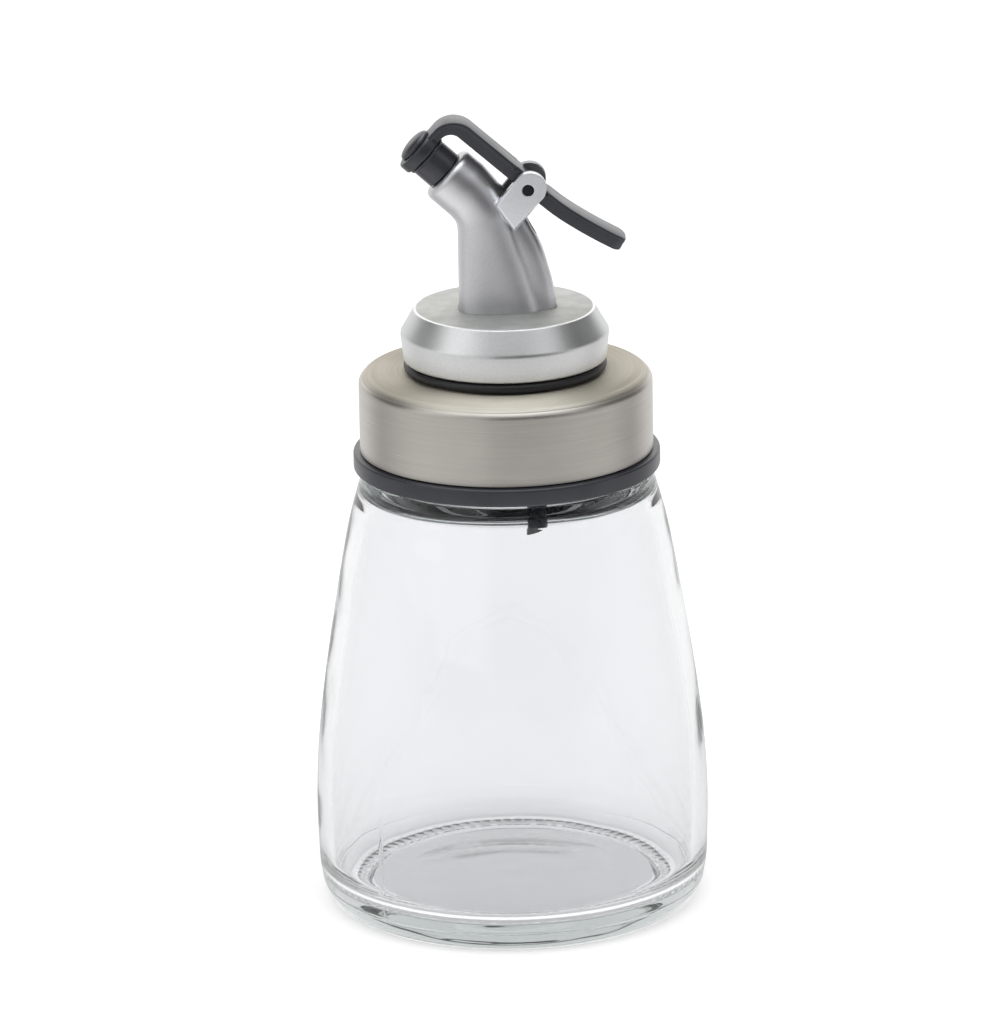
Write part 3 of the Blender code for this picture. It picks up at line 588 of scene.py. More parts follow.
def metal_shade(tree, fine, slow, levels):
    """Amount for shaded: the fine noise as levels, and a little of the slow one."""
    return math_node(tree, "ADD", spread(tree, fine, *levels), spread(tree, slow, -SLOW_SPREAD, SLOW_SPREAD))


def bump(tree, height, strength, distance, normal=None):
    inputs = {"Height": height, "Strength": strength, "Distance": distance}
    if normal:
        inputs["Normal"] = normal
    return add_node(tree, "Bump", inputs).outputs[0]


def rounded_bump(tree, height, strength, distance, rounding):
    """A bump on edges that look rounded by so many millimetres."""
    edge = add_node(tree, "Bevel", {"Radius": rounding * MM}, samples=EDGE_SAMPLES).outputs[0]
    return bump(tree, height, strength, distance, edge)


def start_material(name, roughness, metallic=0.0, ior=1.5):
    material = bpy.data.materials.new(name)
    material.use_nodes = True
    tree = material.node_tree
    shader = tree.nodes["Principled BSDF"]
    shader.inputs["Roughness"].default_value = roughness
    shader.inputs["Metallic"].default_value = metallic
    shader.inputs["IOR"].default_value = ior
    place = add_node(tree, "TexCoord").outputs["Object"]
    return material, tree, shader, place


def glass_material():
    material, tree, shader, place = start_material("clear_glass", 0.0)
    shader.inputs["Base Color"].default_value = GLASS_COLOUR
    shader.inputs["Transmission Weight"].default_value = 1.0
    tint = add_node(tree, "VolumeAbsorption", {"Color": GLASS_TINT, "Density": GLASS_TINT_DENSITY})
    tree.links.new(tint.outputs[0], tree.nodes["Material Output"].inputs["Volume"])
    waves = noise(tree, place, GLASS_WAVES_SCALE, 1.0)
    tree.links.new(bump(tree, waves, *GLASS_WAVES_BUMP), shader.inputs["Normal"])
    smear = noise(tree, place, GLASS_SMEAR_SCALE, 3.0)
    rough = ranged(tree, smear, *GLASS_SMEAR_SPAN, 0.0, GLASS_SMEAR_ROUGHNESS)
    tree.links.new(rough, shader.inputs["Roughness"])
    return material


def steel_material():
    """Steel brushed in circles: its noise is fine over height and radius, and slow round the axis."""
    material, tree, shader, place = start_material("brushed_steel", STEEL_ROUGHNESS, metallic=1.0)
    parts = add_node(tree, "SeparateXYZ", {0: place})
    flat = add_node(tree, "CombineXYZ", {0: parts.outputs[0], 1: parts.outputs[1]}).outputs[0]
    radius = add_node(tree, "VectorMath", {0: flat}, operation="LENGTH").outputs["Value"]
    across = math_node(tree, "MULTIPLY", radius, STEEL_BRUSH_SCALE[2])
    stretched = {0: place, 1: STEEL_BRUSH_SCALE}
    vector = add_node(tree, "VectorMath", stretched, operation="MULTIPLY").outputs[0]
    brushing = noise(tree, vector, 1.0, 3.0, w=across)
    slow = noise(tree, place, STEEL_SLOW_SCALE, 2.0)
    amount = metal_shade(tree, brushing, slow, STEEL_BRUSH_LEVELS)
    on_top = ranged(tree, parts.outputs[2], STEEL_TOP_Z[0] * MM, STEEL_TOP_Z[1] * MM, 0.0, 1.0)
    # Painted warm reflection: the top takes a warmer colour than the side
    warm_reflection_mix = {"Factor": on_top, "A": STEEL_SIDE, "B": STEEL_TOP_WARM_REFLECTION}
    colour = add_node(tree, "Mix", warm_reflection_mix, data_type="VECTOR").outputs[1]
    tree.links.new(shaded(tree, colour, amount), shader.inputs["Base Color"])
    rough = spread(tree, brushing, *STEEL_BRUSH_ROUGHNESS)
    rougher = math_node(tree, "MULTIPLY", on_top, STEEL_TOP_ROUGHER)
    tree.links.new(math_node(tree, "ADD", rough, rougher), shader.inputs["Roughness"])
    shader.inputs["Anisotropic"].default_value = STEEL_ANISOTROPY
    shader.inputs["Anisotropic Rotation"].default_value = STEEL_BRUSH_TURN
    tangent = add_node(tree, "Tangent", direction_type="RADIAL", axis="Z").outputs[0]
    tree.links.new(tangent, shader.inputs["Tangent"])
    tree.links.new(bump(tree, brushing, *STEEL_BRUSH_BUMP), shader.inputs["Normal"])
    return material


def silver_material(name, colour, rounding=0.25, painted_shade_gap_half=None, dusty_shaded_above=None):
    """Satin metal paint with a fine grain; rounding softens the edges, in millimetres.

    painted_shade_gap_half is the half width of the gap between the ears, whose inner faces, and most of the
    far ear, get painted shade, or None.
    dusty_shaded_above is the height from which the paint is rougher, with dust specks, and darker and warmer
    as painted shade with a painted warm reflection, or None.
    """
    material, tree, shader, place = start_material(name, SILVER_ROUGHNESS, metallic=SILVER_METALLIC)
    fine = noise(tree, place, SILVER_GRAIN_SCALE, 2.0)
    slow = noise(tree, place, SILVER_SLOW_SCALE, 3.0)
    amount = metal_shade(tree, fine, slow, SILVER_GRAIN_LEVELS)
    parts = add_node(tree, "SeparateXYZ", {0: place}).outputs
    rough = spread(tree, slow, *SILVER_SLOW_ROUGHNESS)
    # Painted shade: the paint between the ears, and most of the far ear, is darkened
    if painted_shade_gap_half:
        far = math_node(tree, "SUBTRACT", parts[1], FAR_EAR_PAINTED_SHADE * MM)
        side = math_node(tree, "MAXIMUM", far, math_node(tree, "MULTIPLY", parts[1], -1.0))
        uneven = spread(tree, slow, -PAINTED_SHADE_UNEVEN * MM, PAINTED_SHADE_UNEVEN * MM)
        side = math_node(tree, "ADD", side, uneven)
        fade = [(painted_shade_gap_half + past) * MM for past in PAINTED_SHADE_FADE]
        amount = math_node(tree, "MULTIPLY", amount, ranged(tree, side, *fade, PAINTED_SHADE_SHARE, 1.0))
    # Above the height the colour turns darker and warmer, painted shade with a painted warm reflection, with
    # dust specks in it, and the paint is rougher
    if dusty_shaded_above:
        on_top = ranged(tree, parts[2], (dusty_shaded_above - DUST_AND_SHADE_FADE) * MM, dusty_shaded_above * MM, 0.0, 1.0)
        rough = add_node(tree, "Mix", {"Factor": on_top, "A": rough, "B": DUSTY_ROUGHNESS}).outputs[0]
        specks = ranged(tree, noise(tree, place, DUST_SCALE, 4.0), *DUST_SPAN, *DUST_LEVELS)
        dusted_and_shaded = {"Factor": on_top, "A": colour, "B": shaded(tree, DUST_AND_SHADE_SILVER, specks)}
        colour = add_node(tree, "Mix", dusted_and_shaded, data_type="VECTOR").outputs[1]
    tree.links.new(shaded(tree, colour, amount), shader.inputs["Base Color"])
    tree.links.new(rough, shader.inputs["Roughness"])
    tree.links.new(rounded_bump(tree, fine, *SILVER_GRAIN_BUMP, rounding), shader.inputs["Normal"])
    return material


def black_material(name, colour, roughness, grain, ior=1.5):
    material, tree, shader, place = start_material(name, roughness, ior=ior)
    fine = noise(tree, place, BLACK_GRAIN_SCALE, 2.0)
    slow = noise(tree, place, BLACK_SLOW_SCALE, 3.0)
    tree.links.new(shaded(tree, colour, spread(tree, slow, *BLACK_SLOW_LEVELS)), shader.inputs["Base Color"])
    rough = spread(tree, slow, *[roughness + change for change in BLACK_SLOW_ROUGHNESS])
    tree.links.new(rough, shader.inputs["Roughness"])
    edged = rounded_bump(tree, fine, grain, BLACK_GRAIN_DISTANCE, BLACK_ROUNDING)
    tree.links.new(edged, shader.inputs["Normal"])
    return material


# Glass bottle
def thread_mesh(wall_r, inward, start_z):
    """One helical ridge, sunk a little into the wall and tapered at both ends."""
    side = -1 if inward else 1
    count = round(THREAD_TURNS * CIRCLE_STEPS)
    sections = []
    for step in range(count + 1):
        turns = step / CIRCLE_STEPS
        rise = min(1.0, turns / THREAD_TAPER_TURN, (THREAD_TURNS - turns) / THREAD_TAPER_TURN)
        root = wall_r - side * THREAD_SINK
        crest = wall_r + side * THREAD_HEIGHT * rise
        z = start_z + THREAD_PITCH * turns
        angle = 2 * math.pi * (turns + 0.5 / CIRCLE_STEPS)
        corners = [(root, -THREAD_ROOT_WIDTH / 2), (crest, -THREAD_CREST_WIDTH / 2)]
        corners += [(crest, THREAD_CREST_WIDTH / 2), (root, THREAD_ROOT_WIDTH / 2)]
        sections.append([(r * math.cos(angle), r * math.sin(angle), z + half) for r, half in corners])
    return lofted_mesh(sections)


def glass_outline():
    heel_keys = [*HEEL_KEYS, WALL_KEYS[0], WALL_KEYS[1]]
    heel = [point for point in through(heel_keys, CURVE_STEPS) if point[1] < WALL_KEYS[0][1]]
    heel = [point for point in heel if abs(point[1] - HEEL_LINE_Z) > HEEL_LINE_HALF]
    line = [(HEEL_LINE_Z - HEEL_LINE_HALF, 0.0), (HEEL_LINE_Z, HEEL_LINE_RISE)]
    line += [(HEEL_LINE_Z + HEEL_LINE_HALF, 0.0)]
    heel += [(at_height(heel, z) + rise, z) for z, rise in line]
    heel.sort(key=lambda point: (point[1], point[0]))
    wall = through(WALL_KEYS, CURVE_STEPS)
    shoulder_centre = (SHOULDER_R - SHOULDER_CORNER_R, SHOULDER_TOP_Z - SHOULDER_CORNER_R)
    shoulder = arc(shoulder_centre, SHOULDER_CORNER_R, SHOULDER_START_DEG, 90, ROUND_STEPS)
    root_centre = (NECK_R + NECK_ROOT_RISE, SHOULDER_TOP_Z + NECK_ROOT_RISE)
    neck_root = arc(root_centre, NECK_ROOT_RISE, 270, 180, BEVEL_STEPS)
    lip_z = LIP_TOP_Z - LIP_EDGE_R
    lip = arc((NECK_R - LIP_EDGE_R, lip_z), LIP_EDGE_R, 0, 90, EDGE_STEPS)
    lip_inside = arc((NECK_BORE_R + LIP_EDGE_R, lip_z), LIP_EDGE_R, 90, 180, EDGE_STEPS)
    widening = at_height(wall, INNER_SHOULDER_Z) - GLASS_WALL - NECK_BORE_R
    keys = [(NECK_BORE_R + widening * share, INNER_SHOULDER_Z + rise) for share, rise in INNER_SHOULDER_KEYS]
    inner_shoulder = through(keys, EDGE_STEPS)
    corner_z = FLOOR_Z + FLOOR_CORNER_R
    inside = [(r - GLASS_WALL, z) for r, z in wall if corner_z < z < INNER_SHOULDER_Z][::-1]
    corner_r = at_height(wall, corner_z) - GLASS_WALL - FLOOR_CORNER_R
    corner = arc((corner_r, corner_z), FLOOR_CORNER_R, 0, -FLOOR_CORNER_DEG, FLOOR_CORNER_STEPS)
    crown = []
    for step in range(FLOOR_CROWN_STEPS):
        share = 1 - (step + 1) / FLOOR_CROWN_STEPS
        crown.append((corner_r * share, FLOOR_Z + FLOOR_CROWN * math.cos(math.pi * share / 2) ** 2))
    push_up_z = PUSH_UP_KEYS[-1][1]
    base = [*through(PUSH_UP_KEYS, CURVE_STEPS), (CONTACT_INNER_R - push_up_z, push_up_z)]
    base += [(CONTACT_INNER_R, 0.0), *[(r, 0.0) for r in KNURL_RS]]
    outside = [*base, *heel, *wall, *shoulder, *neck_root, *lip]
    return [*outside, *lip_inside, *inner_shoulder, *inside, *corner, *crown]


def bottle_angles():
    """Even steps round the bottle, with three close together at each moulding seam."""
    angles = [2 * math.pi * i / GLASS_STEPS for i in range(GLASS_STEPS)]
    for seam in SEAM_DEG:
        middle = math.radians(seam) % (2 * math.pi)
        half = math.radians(SEAM_HALF_DEG)
        angles = [angle for angle in angles if abs(angle - middle) > 2 * half]
        angles += [middle - half, middle, middle + half]
    return sorted(angles)


def dress_bottle(bm):
    """Raises the moulding seams and cuts the knurled ring into the bearing face."""
    seams = [math.radians(seam) for seam in SEAM_DEG]
    for vert in bm.verts:
        radius = math.hypot(vert.co.x, vert.co.y)
        angle = math.atan2(vert.co.y, vert.co.x)
        if vert.co.z == 0.0 and KNURL_RS[0] < radius < KNURL_RS[3] - TOLERANCE:
            phase = angle / (2 * math.pi) * GLASS_STEPS / KNURL_PERIOD
            vert.co.z = KNURL_DEPTH * math.cos(math.pi * phase) ** 2
        outside = radius > at_height(WALL_KEYS, max(vert.co.z, WALL_KEYS[0][1])) - GLASS_WALL / 2
        if outside and HEEL_LINE_Z < vert.co.z < SHOULDER_TOP_Z - SHOULDER_CORNER_R:
            if min(abs(angle - seam) for seam in seams) < math.radians(SEAM_HALF_DEG) / 2:
                fade = (vert.co.z - SEAM_FADE_Z[0]) / (SEAM_FADE_Z[1] - SEAM_FADE_Z[0])
                rise = SEAM_RISE * (1 - (1 - SEAM_TOP_SHARE) * min(1.0, max(0.0, fade)))
                vert.co.x *= 1 + rise / radius
                vert.co.y *= 1 + rise / radius


def make_bottle(glass):
    bm = turned_mesh(glass_outline(), angles=bottle_angles())
    dress_bottle(bm)
    bottle = object_from(bm, "bottle_glass", glass)
    combine(bottle, thread_mesh(NECK_R, False, GLASS_THREAD_START_Z), "UNION")
    finished(bottle, "glass", "glass_bottle")


# Cap
def make_shell(steel):
    edge_x = SHELL_R - SHELL_EDGE_R
    edge_z = SHELL_TOP_Z - SHELL_EDGE_R
    foot_z = RING_TOP_Z + SEAT
    rounding = []
    for step in range(SHELL_EDGE_STEPS + 1):
        turn = math.radians(90 * step / SHELL_EDGE_STEPS)
        inwards = SHELL_EDGE_WIDTH * (1 - math.cos(turn) ** (2 / SHELL_EDGE_SQUARENESS))
        height = SHELL_TOP_Z - SHELL_EDGE_DROP * (1 - math.sin(turn) ** (2 / SHELL_EDGE_SQUARENESS))
        rounding.append((SHELL_R - inwards, height))
    outline = [
        (SHELL_R - SHELL_WALL, foot_z),
        (SHELL_R - SHELL_RIM, foot_z),
        (SHELL_R, foot_z + SHELL_RIM),
        *rounding,
        (STEM_HOLE_R, SHELL_TOP_Z),
        (STEM_HOLE_R, SHELL_TOP_Z - SHELL_WALL),
        *arc((edge_x, edge_z), SHELL_EDGE_R - SHELL_WALL, 90, 0, CURVE_STEPS),
    ]
    shell = object_from(turned_mesh(outline, GLASS_STEPS), "steel_shell", steel)
    finished(shell, "cap", "cap_shell")


def make_liner(black):
    body_r = SHELL_R - SHELL_WALL - SEAT
    corner_r = SHELL_EDGE_R - SHELL_WALL
    ring_x = RING_R - RING_EDGE_R
    outline = [
        (LINER_BORE_R, RING_BOTTOM_Z + LINER_MOUTH_CHAMFER),
        (LINER_BORE_R + LINER_MOUTH_CHAMFER, RING_BOTTOM_Z),
        *arc((ring_x, RING_BOTTOM_Z + RING_EDGE_R), RING_EDGE_R, -90, 0, EDGE_STEPS),
        *arc((ring_x, RING_TOP_Z - RING_EDGE_R), RING_EDGE_R, 0, 90, EDGE_STEPS),
        (body_r, RING_TOP_Z),
        *arc((body_r - corner_r, LINER_TOP_Z - corner_r), corner_r, 0, 90, EDGE_STEPS),
        (STEM_HOLE_R, LINER_TOP_Z),
        (STEM_HOLE_R, LINER_UNDERSIDE_Z),
        (LINER_BORE_R, LINER_UNDERSIDE_Z),
    ]
    liner = object_from(turned_mesh(outline), "liner_ring", black)
    combine(liner, thread_mesh(LINER_BORE_R, True, LINER_THREAD_START_Z), "UNION")
    finished(liner, "cap", "cap_liner")


def make_pourer_gasket(rubber):
    bottom = SHELL_TOP_Z + SEAT
    top = COLLAR_BOTTOM_Z - SEAT
    bulge = (top - bottom) / 2
    outline = [
        (STEM_HOLE_R, bottom),
        *arc((GASKET_R - bulge, bottom + bulge), bulge, -90, 90, BULGE_STEPS),
        (STEM_HOLE_R, top),
    ]
    gasket = object_from(turned_mesh(outline), "gasket_ring", rubber)
    finished(gasket, "cap", "pourer_gasket")


# Spout
def section(left_x, left_z, right_x, right_z, half_width, squareness):
    """Slanting ellipse; a squareness over 2 brings it nearer to a rectangle."""
    left, right = Vector((left_x, 0.0, left_z)), Vector((right_x, 0.0, right_z))
    middle, half = (left + right) / 2, (right - left) / 2
    points = []
    for step in range(TUBE_STEPS):
        turn = 2 * math.pi * step / TUBE_STEPS
        along, across = [
            math.copysign(abs(value) ** (2 / squareness), value)
            for value in (math.cos(turn), math.sin(turn))
        ]
        points.append(middle + half * along + Vector((0.0, half_width * across, 0.0)))
    return points


def tube_station(level, radius):
    """Round station at a level along the mouth's way, with the mouth at 0."""
    left = MOUTH_CENTRE + MOUTH_WAY * level - MOUTH_UP * radius
    right = MOUTH_CENTRE + MOUTH_WAY * level + MOUTH_UP * radius
    return (left.x, left.z, right.x, right.z, radius, 2.0)


def foot_station(z):
    return (FOOT_LEFT_X, z, FOOT_RIGHT_X, z, FOOT_HALF_WIDTH, FOOT_SQUARENESS)


def rib_foot_station(z):
    return (RIB_FOOT_LEFT_X, z, RIB_FOOT_RIGHT_X, z, RIB_HALF_WIDTH, RIB_STATIONS[0][5])


def hole_mesh(station_at, bottom, top):
    sections = []
    for z in (bottom, top):
        left_x, _, right_x, _, half_width, squareness = station_at(z)
        ends = (left_x - HOLE_MARGIN, z, right_x + HOLE_MARGIN, z)
        sections.append(section(*ends, half_width + HOLE_MARGIN, squareness))
    return lofted_mesh(sections)


def foot_mesh(bottom):
    stations = [foot_station(COLLAR_TOP_Z), *BEND_STATIONS]
    stations += [tube_station(level, TUBE_R) for level in TUBE_STATION_STARTS]
    rounding = arc((TUBE_R - LIP_ROUND, -LIP_ROUND), LIP_ROUND, 0, 90, ROUND_STEPS)[1:]
    stations = [foot_station(bottom), *through(stations, CURVE_STEPS)]
    stations += [tube_station(level, radius) for radius, level in rounding]
    return lofted_mesh([section(*station) for station in stations])


def rib_mesh(bottom):
    stations = through([rib_foot_station(COLLAR_TOP_Z), *RIB_STATIONS], CURVE_STEPS)
    return lofted_mesh([section(*station) for station in [rib_foot_station(bottom), *stations]])


def mouth_frame():
    """Matrix that puts Z on the mouth's way and the origin at its centre."""
    columns = (MOUTH_UP, Vector((0.0, -1.0, 0.0)), MOUTH_WAY)
    turn = Matrix([[column[row] for column in columns] for row in range(3)])
    return Matrix.Translation(MOUTH_CENTRE) @ turn.to_4x4()


def make_collar(silver):
    plate_z = COLLAR_TOP_Z - COLLAR_PLATE
    band_x, band_z = COLLAR_BAND_TOP
    cone = Vector((COLLAR_TOP_R - band_x, COLLAR_TOP_Z - band_z)).normalized() * COLLAR_RIM_R
    edge_centre = (COLLAR_BOTTOM_R - COLLAR_EDGE_R, COLLAR_BOTTOM_Z + COLLAR_EDGE_R)
    outline = [
        (0.0, plate_z),
        (COLLAR_CAVITY_R - COLLAR_CAVITY_CORNER, plate_z),
        (COLLAR_CAVITY_R, plate_z - COLLAR_CAVITY_CORNER),
        (COLLAR_CAVITY_R, COLLAR_BOTTOM_Z),
        *arc(edge_centre, COLLAR_EDGE_R, -90, 0, CURVE_STEPS),
        (band_x, band_z - COLLAR_RIM_R),
        (band_x + cone.x / 4, band_z + cone.y / 4),
        (band_x + cone.x, band_z + cone.y),
        (COLLAR_TOP_R - cone.x, COLLAR_TOP_Z - cone.y),
        (COLLAR_TOP_R - cone.x / 4, COLLAR_TOP_Z - cone.y / 4),
        (COLLAR_TOP_R - COLLAR_RIM_R, COLLAR_TOP_Z),
        (0.0, COLLAR_TOP_Z),
    ]
    collar = object_from(turned_mesh(outline), "collar_ring", silver)
    below, above = plate_z - CUT_PAST, COLLAR_TOP_Z + CUT_PAST
    combine(collar, hole_mesh(foot_station, below, above), "DIFFERENCE")
    combine(collar, hole_mesh(rib_foot_station, below, above), "DIFFERENCE")
    finished(collar, "cap", "collar")


def tangent_angle(point, centre, radius, side):
    """Angle on a circle where the line from an outer point touches it."""
    back = point - centre
    return math.atan2(back.y, back.x) - side * math.acos(radius / back.length)


def ear_outline():
    head = Vector(EAR_HEAD)
    start = math.degrees(tangent_angle(Vector(EAR_BASE_UPPER), head, EAR_HEAD_R, 1)) + 360
    end = math.degrees(tangent_angle(Vector(EAR_BASE_LOWER), head, EAR_HEAD_R, -1))
    return [EAR_BASE_UPPER, *arc(EAR_HEAD, EAR_HEAD_R, start, end, EAR_HEAD_STEPS), EAR_BASE_LOWER]


def make_spout(silver, ear_silver):
    foot_z = COLLAR_TOP_Z - COLLAR_PLATE - SEAT
    flange_bottom = foot_z - FLANGE_THICKNESS
    spout = object_from(foot_mesh(foot_z - FOOT_SINK), "spout_tube", silver)
    combine(spout, rib_mesh(foot_z - FOOT_SINK), "UNION")
    base = [
        (0.0, STEM_BOTTOM_Z),
        (STEM_R, STEM_BOTTOM_Z),
        (STEM_R, COLLAR_BOTTOM_Z),
        (BOSS_R, COLLAR_BOTTOM_Z),
        (BOSS_R, flange_bottom),
        (FLANGE_R, flange_bottom),
        (FLANGE_R, foot_z),
        (0.0, foot_z),
    ]
    combine(spout, turned_mesh(base), "UNION")
    outer = EAR_GAP_HALF + EAR_THICKNESS
    for side in (-1, 1):
        ear = plate_mesh(ear_outline(), side * EAR_GAP_HALF, side * outer, EAR_BEVEL)
        combine(spout, ear, "UNION", ear_silver)
    flow = rod_outline(FLOW_R, STEM_BOTTOM_Z - CUT_PAST, FLOW_TOP_Z)
    combine(spout, turned_mesh(flow, TUBE_STEPS, Matrix.Translation((FLOW_X, 0, 0))), "DIFFERENCE")
    mouth = [
        (0.0, -MOUTH_BORE_DEPTH),
        (MOUTH_BORE_R, -MOUTH_BORE_DEPTH),
        (MOUTH_BORE_R, -MOUTH_CHAMFER),
        (MOUTH_BORE_R + MOUTH_CHAMFER + CUT_PAST, CUT_PAST),
        (0.0, CUT_PAST),
    ]
    combine(spout, turned_mesh(mouth, TUBE_STEPS, mouth_frame()), "DIFFERENCE")
    socket_r = AIR_TUBE_R + SOCKET_CLEARANCE
    socket_top = STEM_BOTTOM_Z + AIR_TUBE_SOCKET_DEPTH
    air = [
        (0.0, STEM_BOTTOM_Z - CUT_PAST),
        (socket_r, STEM_BOTTOM_Z - CUT_PAST),
        (socket_r, socket_top),
        (AIR_R, socket_top),
        (AIR_R, AIR_TOP_Z),
        (0.0, AIR_TOP_Z),
    ]
    combine(spout, turned_mesh(air, SMALL_STEPS, Matrix.Translation((AIR_X, 0, 0))), "DIFFERENCE")
    combine(spout, rod_mesh(PIN, PIN_R + PIN_PRESS_CLEARANCE, outer + CUT_PAST), "DIFFERENCE")
    finished(spout, "cap", "spout_body")


def make_air_tube(black):
    top = STEM_BOTTOM_Z + AIR_TUBE_SOCKET_DEPTH - SEAT
    outline = [
        (AIR_TUBE_BORE_R, AIR_TUBE_BOTTOM_Z),
        (AIR_TUBE_R, AIR_TUBE_BOTTOM_Z),
        (AIR_TUBE_R, top),
        (AIR_TUBE_BORE_R, top),
    ]
    bm = turned_mesh(outline, SMALL_STEPS)
    for vert in bm.verts:
        if vert.co.z < top:
            vert.co.z += AIR_TUBE_CUT_SLOPE * vert.co.x
    bmesh.ops.translate(bm, vec=(AIR_X, 0, 0), verts=bm.verts)
    finished(object_from(bm, "vent_tube", black), "cap", "air_tube")


# Lever and stopper
def lever_path():
    """Centreline as (x, z, heading, thickness, narrowing) from the ring to the thumb end."""
    across = math.pi / 2 - TUBE_TILT
    ring_centre = MOUTH_CENTRE + MOUTH_WAY * LEVER_RING_LEVEL
    strap = LEVER_RING_THICKNESS - RING_GAP
    start = ring_centre + MOUTH_UP * (LEVER_RING_BORE_R + LEVER_STRAP_START)
    arch_start = ring_centre + MOUTH_UP * LEVER_ARCH_START
    centre = arch_start - MOUTH_WAY * LEVER_ARCH_R
    path = [(start.x, start.z, across, strap, 0.0), (arch_start.x, arch_start.z, across, strap, 0.0)]
    for step in range(1, LEVER_ARCH_STEPS + 1):
        share = step / LEVER_ARCH_STEPS
        heading = across - (across + LEVER_ARM_TILT) * share
        x = centre.x - LEVER_ARCH_R * math.sin(heading)
        z = centre.z + LEVER_ARCH_R * math.cos(heading)
        path.append((x, z, heading, strap + (LEVER_ARM_THICKNESS - strap) * share, 0.0))
    arm_x, arm_z = path[-1][:2]
    ears_from, ears_to = PIN.x - LEVER_EAR_REACH, PIN.x + LEVER_EAR_REACH
    for x in (ears_from - LEVER_EAR_STEP, ears_from, ears_to, ears_to + LEVER_EAR_STEP):
        z = arm_z - (x - arm_x) * math.tan(LEVER_ARM_TILT)
        path.append((x, z, -LEVER_ARM_TILT, LEVER_ARM_THICKNESS, 0.0))
    curve = through([path[-1][:2], *HANDLE_KEYS], CURVE_STEPS)
    for before, (x, z), after in zip(curve, curve[1:], [*curve[2:], curve[-1]]):
        heading = math.atan2(after[1] - before[1], after[0] - before[0])
        path.append((x, z, heading, LEVER_ARM_THICKNESS, 0.0))
    x, z, heading, thickness, _ = path[-1]
    space = HANDLE_END_SHIFT + HANDLE_END_SPACE
    path = [point for point in path if math.hypot(point[0] - x, point[1] - z) > space]
    x, z = x - HANDLE_END_SHIFT * math.cos(heading), z - HANDLE_END_SHIFT * math.sin(heading)
    for along, level in arc((0.0, 0.0), 1.0, 90, HANDLE_END_DEG, ROUND_STEPS):
        end_x = x + HANDLE_END_R * along * math.cos(heading)
        end_z = z + HANDLE_END_R * along * math.sin(heading)
        end_thickness = thickness - HANDLE_END_DROP * (1 - level)
        path.append((end_x, end_z, heading, end_thickness, HANDLE_END_R * (1 - level)))
    return path


def lever_section(x, z, heading, thickness, narrowing):
    """T-shaped section: a web with a slightly wider top, narrowed between the ears."""
    beside_ears = abs(x - PIN.x) <= LEVER_EAR_REACH + LEVER_EAR_STEP / 2
    top_half = EAR_GAP_HALF - LEVER_EAR_CLEARANCE if beside_ears else LEVER_TOP_HALF - narrowing
    web_half = LEVER_WEB_HALF - narrowing
    up = Vector((-math.sin(heading), 0.0, math.cos(heading)))
    half = thickness / 2
    under_top = half - LEVER_TOP_THICKNESS
    shape = [(-web_half, -half), (web_half, -half), (web_half, under_top)]
    shape += [(top_half, under_top), (top_half, half), (-top_half, half), (-top_half, under_top)]
    shape += [(-web_half, under_top)]
    shape = softened([Vector(point) for point in shape], LEVER_ROUND)
    return [Vector((x, y, z)) + up * rise for y, rise in shape]


def make_lever(black):
    lever = object_from(lofted_mesh([lever_section(*point) for point in lever_path()]), "lever_arm", black)
    low = LEVER_RING_LEVEL - LEVER_RING_THICKNESS / 2
    high = low + LEVER_RING_THICKNESS
    edge_r = LEVER_RING_R - LEVER_RING_EDGE
    ring = [
        (LEVER_RING_BORE_R, low),
        *arc((edge_r, low + LEVER_RING_EDGE), LEVER_RING_EDGE, -90, 0, EDGE_STEPS),
        *arc((edge_r, high - LEVER_RING_EDGE), LEVER_RING_EDGE, 0, 90, EDGE_STEPS),
        (LEVER_RING_BORE_R, high),
    ]
    combine(lever, turned_mesh(ring, TUBE_STEPS, mouth_frame()), "UNION")
    down = Vector((-math.sin(LEVER_ARM_TILT), 0.0, -math.cos(LEVER_ARM_TILT)))
    combine(lever, rod_mesh(PIN + down * HUB_DROP, HUB_R, HUB_HALF), "UNION")
    combine(lever, rod_mesh(PIN, PIN_R + PIN_RUNNING_CLEARANCE, LEVER_TOP_HALF + CUT_PAST), "DIFFERENCE")
    finished(lever, "stopper_lever", "lever")


def make_pin(black):
    pin = object_from(rod_mesh(PIN, PIN_R, EAR_GAP_HALF + EAR_THICKNESS, PIN_EDGE), "pin_rod", black)
    finished(pin, "cap", "lever_pin")


